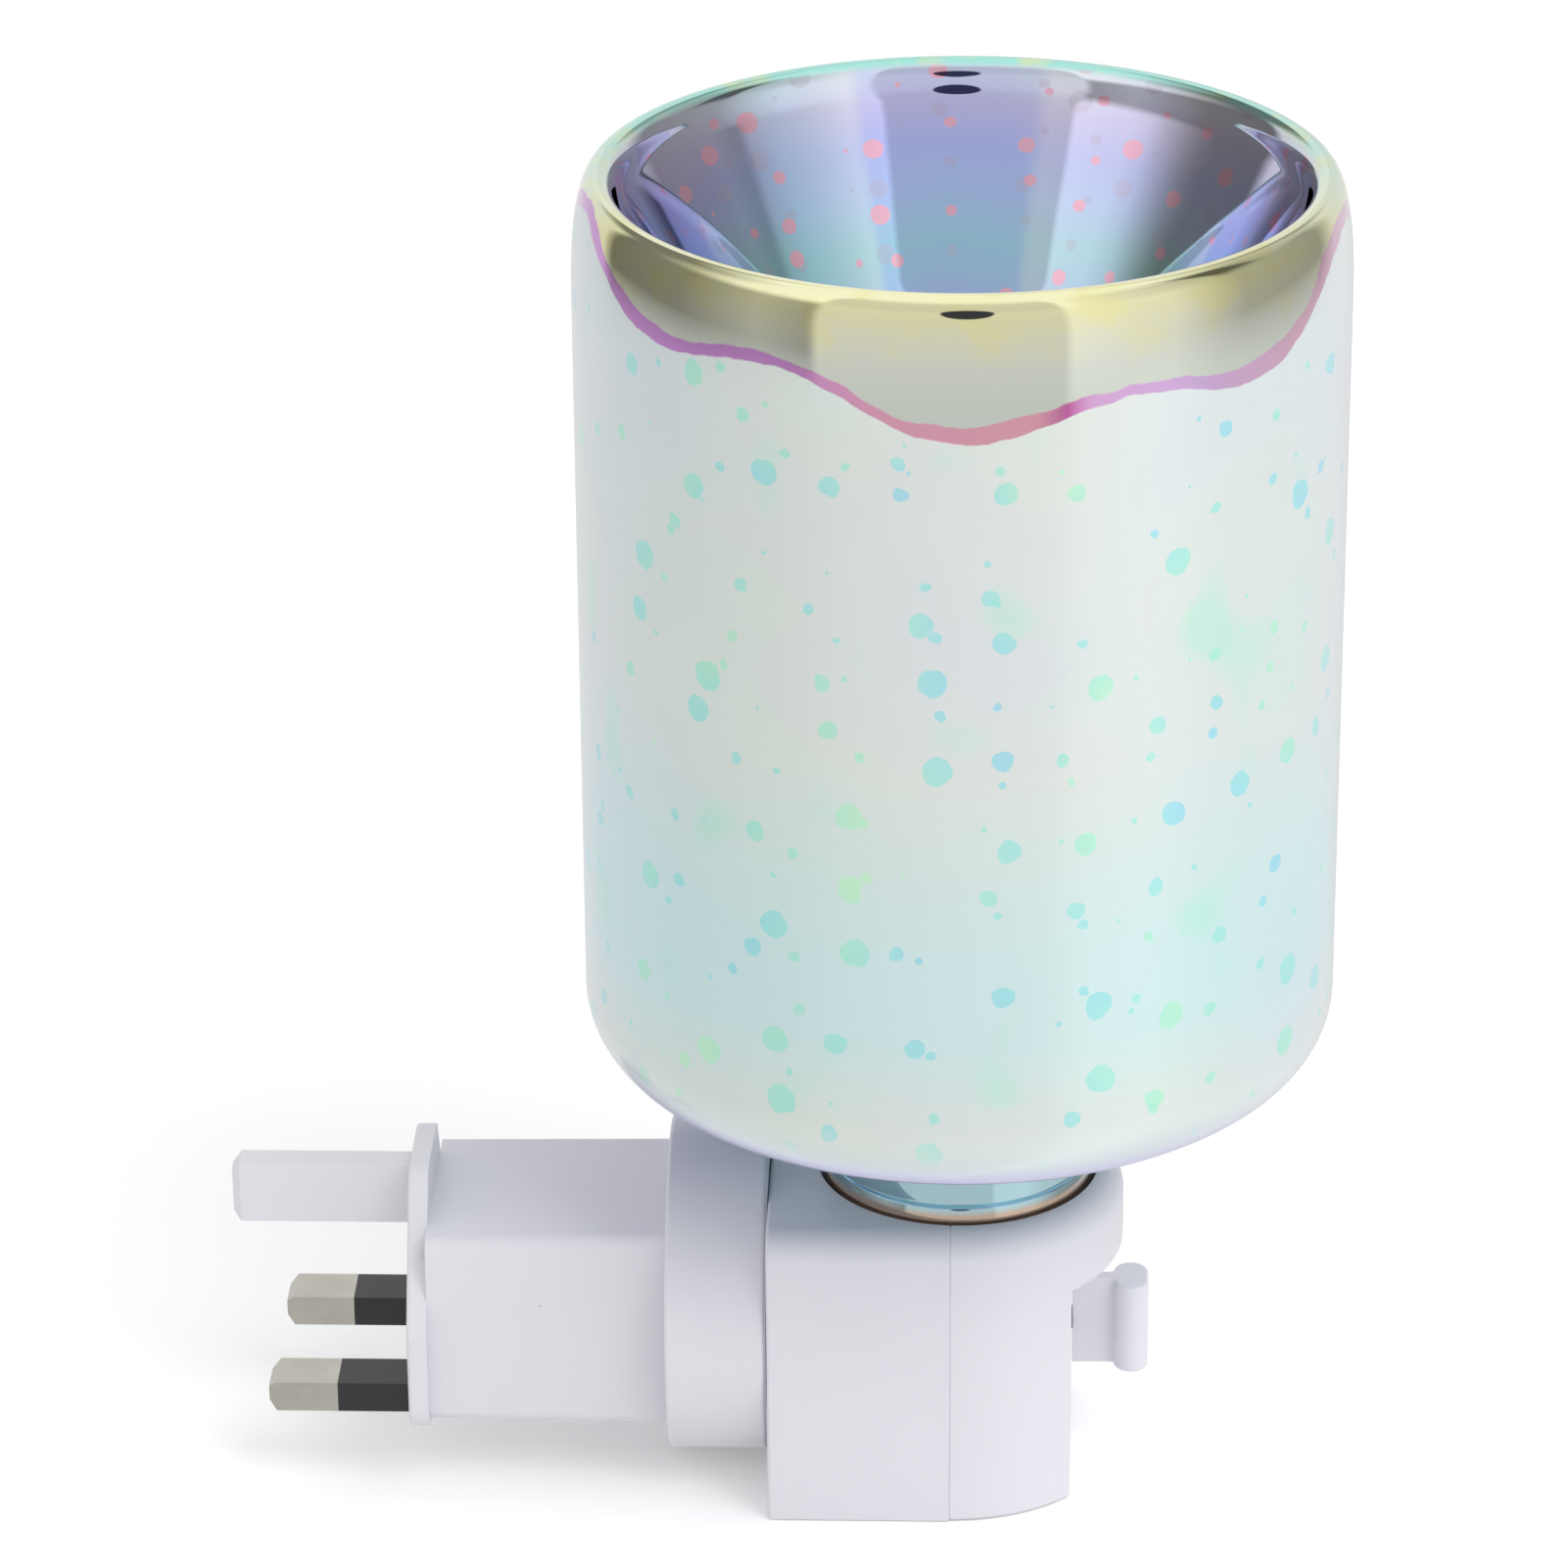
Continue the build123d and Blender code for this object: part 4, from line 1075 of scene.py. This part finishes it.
class WARMER_OT_housing(bpy.types.Operator):
    """Finish the housing's two shells, its knob and the switch behind it"""

    bl_idname = "warmer.housing"
    bl_label = "Housing"

    def execute(self, context):
        dress(white_abs(), "white_abs", "rear_shell", "front_shell", "switch_knob")
        # Dark moulded plastic: hardly any highlight inside the housing.
        switch = moulding("Moulded switch body", "2a2b2d", "35363a", 0.4, 0.3)
        dress(switch, "carrier_plastic", "switch_body", "switch_spindle")
        return {"FINISHED"}


class WARMER_OT_plug(bpy.types.Operator):
    """Finish the plug block, its face plate and pins, and raise the collar's running face"""

    bl_idname = "warmer.plug"
    bl_label = "Plug and Swivel"

    def execute(self, context):
        plastic = bpy.data.materials["White moulded ABS"]
        dress(plastic, "white_abs", "plug_body", "pin_plate", "swivel_collar", "earth_pin")
        sizes = context.scene.warmer_plug
        outside, inside = collar_radius - sizes.face_inset, sizes.face_bore
        ring = [
            (inside, 0, 0),
            (outside, 0, 0),
            (outside, sizes.face_rise, sizes.face_rise / 2),
            (inside, sizes.face_rise, 0),
            (inside, 0, 0),
        ]
        face = turned(
            "collar_running_face",
            rounded(ring),
            steps=4,
            count=sizes.segments,
            axis=(0, 0, 0),
            material=plastic,
        )
        upright = Matrix.Rotation(pi / 2, 4, "X")
        collar_face = housing_back + sizes.swivel_gap
        face.data.transform(Matrix.Translation((0, collar_face, 0)) @ upright)
        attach(face, "plug")
        # Plated and drawn: bright, with fine lines along the pin.
        pins = plating("Nickel-plated brass pin", "d2cfc6", "b8b4aa", 0.16, 0.25, (1, 0.08, 1))
        dress(pins, "pin_metal", "live_pin", "neutral_pin")
        # Moulded over the pin: a satin black that ends in a clean line.
        sleeve = moulding("Black nylon pin sleeve", "1d1d1f", "28282b", 0.36, 0.3)
        dress(sleeve, "sleeve_black", "live_pin_sleeve", "neutral_pin_sleeve")
        return {"FINISHED"}


class WARMER_OT_wiring(bpy.types.Operator):
    """Finish the slip rings, brushes, switch tabs and leads"""

    bl_idname = "warmer.wiring"
    bl_label = "Contacts and Leads"

    def execute(self, context):
        # Stamped sheet: yellow and evenly satin.
        brass = plating("Stamped contact brass", "d2ad5e", "b9924a", 0.24, 0.25)
        dress(brass, "contact_brass", "live_slip_ring", "neutral_slip_ring")
        dress(brass, "contact_brass", "live_brush", "neutral_brush", "switch_tabs")
        # Dark moulded plastic: matt, so that the rings stand out on it.
        carrier = moulding("Moulded slip ring carrier", "2c2c2e", "38383b", 0.45, 0.35)
        dress(carrier, "carrier_plastic", "slip_ring_carrier")
        # Plated wire: cool grey with blurred highlights.
        steel = plating("Zinc-plated spring steel", "c2c4c6", "a3a6aa", 0.28, 0.3)
        dress(steel, "screw_steel", "swivel_retainer")
        # Extruded insulation: an even colour with one soft highlight along it.
        brown = moulding("Brown PVC insulation", "6b3f24", "7a4a2c", 0.4, 0.5)
        dress(brown, "lead_brown", "plug_live_lead", "live_lead", "switch_lead")
        blue = moulding("Blue PVC insulation", "2d5f9e", "386cab", 0.4, 0.5)
        dress(blue, "lead_blue", "plug_neutral_lead", "neutral_lead")
        return {"FINISHED"}


def screw_profile(head_radius, head_height, shank_radius, whole, sizes):
    """Knots of a pan-head screw's section, its head's top at height nought."""
    return rounded(
        [
            (0, 0, 0),
            (head_radius, 0, sizes.edge),
            (head_radius, -head_height, sizes.under_edge),
            (shank_radius, -head_height, 0),
            (shank_radius, -whole + shank_radius, sizes.tip_edge),
            (sizes.tip_radius, -whole, 0),
            (0, -whole, 0),
        ]
    )


class WARMER_OT_screws(bpy.types.Operator):
    """Set the cross-head screws of the face plate, the collar and the shells"""

    bl_idname = "warmer.screws"
    bl_label = "Screws"

    def execute(self, context):
        sizes = context.scene.warmer_screws
        tree, keys = shared("screws")
        # Plated and tumbled: a bright cool head in which the recess reads dark.
        steel = plating("Zinc-plated screw steel", "cdd0d2", "aeb2b6", 0.2, 0.3)
        # Each set's body, its head's radius and height, its shank's radius and its length in
        # millimetres, and the way its heads face.
        sets = (
            ("plate_screws", "plug", 2.4, 1.5, 1.3, 9.0, -pi / 2),
            ("collar_screws", "plug", 2.4, 1.5, 1.3, 9.0, pi / 2),
            ("shell_screws", "housing", 2.6, 2.0, 1.5, 28.4, -pi / 2),
        )
        for name, body, *lengths, tilt in sets:
            head_radius, head_height, shank_radius, whole = (size * MM for size in lengths)
            low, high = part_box(name)
            face = high.y if tilt < 0 else low.y
            height = (low.z + high.z) / 2
            knots = screw_profile(head_radius, head_height, shank_radius, whole, sizes)
            curve = profile_curve(f"{name}_profile", knots, steps=6)
            values = {
                "Profile": curve,
                "Segments": sizes.segments,
                "Slot width": sizes.slot_width,
                "Slot length": 2 * shank_radius,
                "Slot depth": sizes.slot_depth,
                "Tilt": tilt,
                "Material": steel,
            }
            places = [(x, face, height) for x in (low.x + head_radius, high.x - head_radius)]
            piece = grown(f"{name}_cross_head", tree, keys, values, places)
            bpy.data.objects.remove(curve)
            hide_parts(name)
            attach(piece, body)
        return {"FINISHED"}


# Greys of the studio's walls by their bearing, in degrees to the right of the camera: below the
# horizon, level with it and above it.
wall_greys = (
    [
        (-180, "ee"), (-125, "e2"), (-90, "d8"), (-43, "d8"), (-40, "dc"), (30, "dc"),
        (33, "f4"), (62, "f8"), (80, "e6"), (110, "de"), (140, "e6"),
    ],
    [
        (-180, "f0"), (-128, "e0"), (-122, "74"), (-88, "86"), (-60, "b6"), (-44, "a2"),
        (-41, "e0"), (30, "e0"), (32, "fc"), (64, "ec"), (90, "ae"), (128, "9a"), (140, "e4"),
    ],
    [
        (-180, "f6"), (-164, "ee"), (-158, "78"), (-112, "7e"), (-96, "b0"), (-72, "fa"),
        (-43, "ff"), (-41, "d4"), (30, "d4"), (32, "ff"), (52, "e6"), (84, "c0"),
        (88, "60"), (102, "60"), (108, "b0"), (136, "c4"), (156, "98"), (165, "ee"),
    ],
)


def studio_world(settings):
    """White all round for the camera, plain light for matt faces, and soft panels for mirrors.

    The mirrors see a grey wall round the camera, a dark wall to its left and a white one to its
    right, each a little different below the horizon, level with it and above it.
    """
    world = bpy.data.worlds.new("Studio")
    bpy.context.scene.world = world
    world.use_nodes = True
    tree = world.node_tree
    tree.nodes.clear()
    way = add(tree, "ShaderNodeTexCoord").outputs["Generated"]
    facing = add(tree, "ShaderNodeMapping", {"Vector": way, "Rotation": (0, 0, pi)})
    parts = add(tree, "ShaderNodeSeparateXYZ", (facing,)).outputs
    turn = add(tree, "ShaderNodeMath", (parts["Y"], parts["X"]), operation="ARCTAN2")
    around = add(tree, "ShaderNodeMapRange", (turn, -pi, pi))
    rise = add(tree, "ShaderNodeMath", (parts["Z"],), operation="ARCSINE")
    wall, level, high = (
        add(
            tree,
            "ShaderNodeValToRGB",
            (around,),
            [((bearing + 180) / 360, grey * 3) for bearing, grey in greys],
        )
        for greys in wall_greys
    )
    for start, end, above in ((-19, -9, level), (20, 30, high), (46, 62, rgba("fafafa"))):
        wall = laid_over(tree, wall, above, rise, radians(start), radians(end))
    toward = Vector(settings.camera_place) - Vector(settings.camera_target)
    along = add(
        tree, "ShaderNodeVectorMath", (way, toward.normalized()), operation="DOT_PRODUCT"
    )
    # The camera's own dark spot, some 15 degrees across, with a soft edge.
    edge, core = cos(radians(7.8)), cos(radians(7.2))
    wall = laid_over(tree, wall, rgba("3a3c50"), along, edge, core)
    rays = add(tree, "ShaderNodeLightPath").outputs
    shiny = add(
        tree,
        "ShaderNodeMath",
        (rays["Is Glossy Ray"], rays["Is Transmission Ray"]),
        operation="MAXIMUM",
    )
    plain_light = (settings.ambient, settings.ambient, settings.ambient, 1)
    seen = laid_over(tree, plain_light, wall, shiny)
    final = laid_over(tree, seen, (1, 1, 1, 1), rays["Is Camera Ray"])
    shine = add(tree, "ShaderNodeBackground", {"Color": final})
    add(tree, "ShaderNodeOutputWorld", {"Surface": shine})


def studio_floor(settings):
    """A pale floor at the height of the housing's underside, which keeps a soft shadow."""
    material, tree, shader = finish("Pale studio floor")
    shader.inputs["Base Color"].default_value = rgba("f4f4f4")
    shader.inputs["Roughness"].default_value = 0.9
    rays = add(tree, "ShaderNodeLightPath").outputs
    seen = add(
        tree,
        "ShaderNodeMath",
        (rays["Is Camera Ray"], rays["Is Glossy Ray"]),
        operation="MAXIMUM",
    )
    glow = 0.22  # lifts the floor's own colour to the white of the background
    lift = add(tree, "ShaderNodeMath", (seen, glow), operation="MULTIPLY").outputs["Value"]
    tree.links.new(lift, shader.inputs["Emission Strength"])
    shader.inputs["Emission Color"].default_value = (1, 1, 1, 1)
    work = bmesh.new()
    bmesh.ops.create_grid(work, x_segments=8, y_segments=8, size=settings.floor_size / 2)
    clear = 0.2 * MM
    bmesh.ops.translate(work, verts=work.verts, vec=(0, 0, floor_height - clear))
    mesh = bpy.data.meshes.new("studio_floor")
    work.to_mesh(mesh)
    work.free()
    mesh.materials.append(material)
    ground = bpy.data.objects.new("studio_floor", mesh)
    bpy.context.scene.collection.objects.link(ground)
    ground.visible_glossy = False


class WARMER_OT_stage(bpy.types.Operator):
    """Set the floor, the light and the camera"""

    bl_idname = "warmer.stage"
    bl_label = "Studio"

    def execute(self, context):
        settings = context.scene.warmer_stage
        studio_world(settings)
        studio_floor(settings)
        lamp = bpy.data.lights.new("key", "AREA")
        lamp.shape = "SQUARE"
        lamp.size = settings.key_size
        lamp.energy = settings.key_power
        key = bpy.data.objects.new("key", lamp)
        key.location = settings.key_place
        aim = Vector(settings.key_target) - key.location
        key.rotation_euler = aim.to_track_quat("-Z", "Y").to_euler()
        key.visible_glossy = False
        context.scene.collection.objects.link(key)
        camera_data = bpy.data.cameras.new("camera")
        camera_data.sensor_width = 36
        camera_data.lens = settings.camera_lens
        camera_data.clip_start = 10 * MM
        camera = bpy.data.objects.new("camera", camera_data)
        place = Vector(settings.camera_place)
        view = (Vector(settings.camera_target) - place).to_track_quat("-Z", "Y")
        turn = view.to_matrix() @ Matrix.Rotation(settings.camera_roll, 3, "Z")
        camera.matrix_world = Matrix.Translation(place) @ turn.to_4x4()
        context.scene.collection.objects.link(camera)
        context.scene.camera = camera
        context.scene.view_settings.view_transform = "Standard"
        return {"FINISHED"}


class WARMER_PT_sidebar(bpy.types.Panel):
    """The warmer's pieces and their settings"""

    bl_idname = "WARMER_PT_sidebar"
    bl_label = "Wax Melt Warmer"
    bl_space_type = "VIEW_3D"
    bl_region_type = "UI"
    bl_category = "Warmer"

    def draw(self, context):
        for operator, settings in steps:
            box = self.layout.box()
            box.operator(operator.bl_idname)
            if settings:
                group = getattr(context.scene, settings)
                for name in group.bl_rna.properties.keys():
                    if name not in ("rna_type", "name"):
                        box.prop(group, name)


steps = (
    (WARMER_OT_shade, "warmer_shade"),
    (WARMER_OT_lamp, "warmer_lamp"),
    (WARMER_OT_holder, None),
    (WARMER_OT_housing, "warmer_finish"),
    (WARMER_OT_plug, "warmer_plug"),
    (WARMER_OT_screws, "warmer_screws"),
    (WARMER_OT_wiring, None),
    (WARMER_OT_stage, "warmer_stage"),
)
groups = {
    "warmer_shade": ShadeSettings,
    "warmer_lamp": LampSettings,
    "warmer_screws": ScrewSettings,
    "warmer_plug": PlugSettings,
    "warmer_finish": FinishSettings,
    "warmer_stage": StageSettings,
}


def register():
    for name, group in groups.items():
        bpy.utils.register_class(group)
        setattr(bpy.types.Scene, name, bpy.props.PointerProperty(type=group))
    for operator, _ in steps:
        bpy.utils.register_class(operator)
    bpy.utils.register_class(WARMER_PT_sidebar)


def unregister():
    bpy.utils.unregister_class(WARMER_PT_sidebar)
    for operator, _ in reversed(steps):
        bpy.utils.unregister_class(operator)
    for name, group in reversed(groups.items()):
        delattr(bpy.types.Scene, name)
        bpy.utils.unregister_class(group)


def main():
    """Builds the whole scene."""
    register()
    for operator, _ in steps:
        family, name = operator.bl_idname.split(".")
        getattr(getattr(bpy.ops, family), name)()


if __name__ == "__main__":
    main()
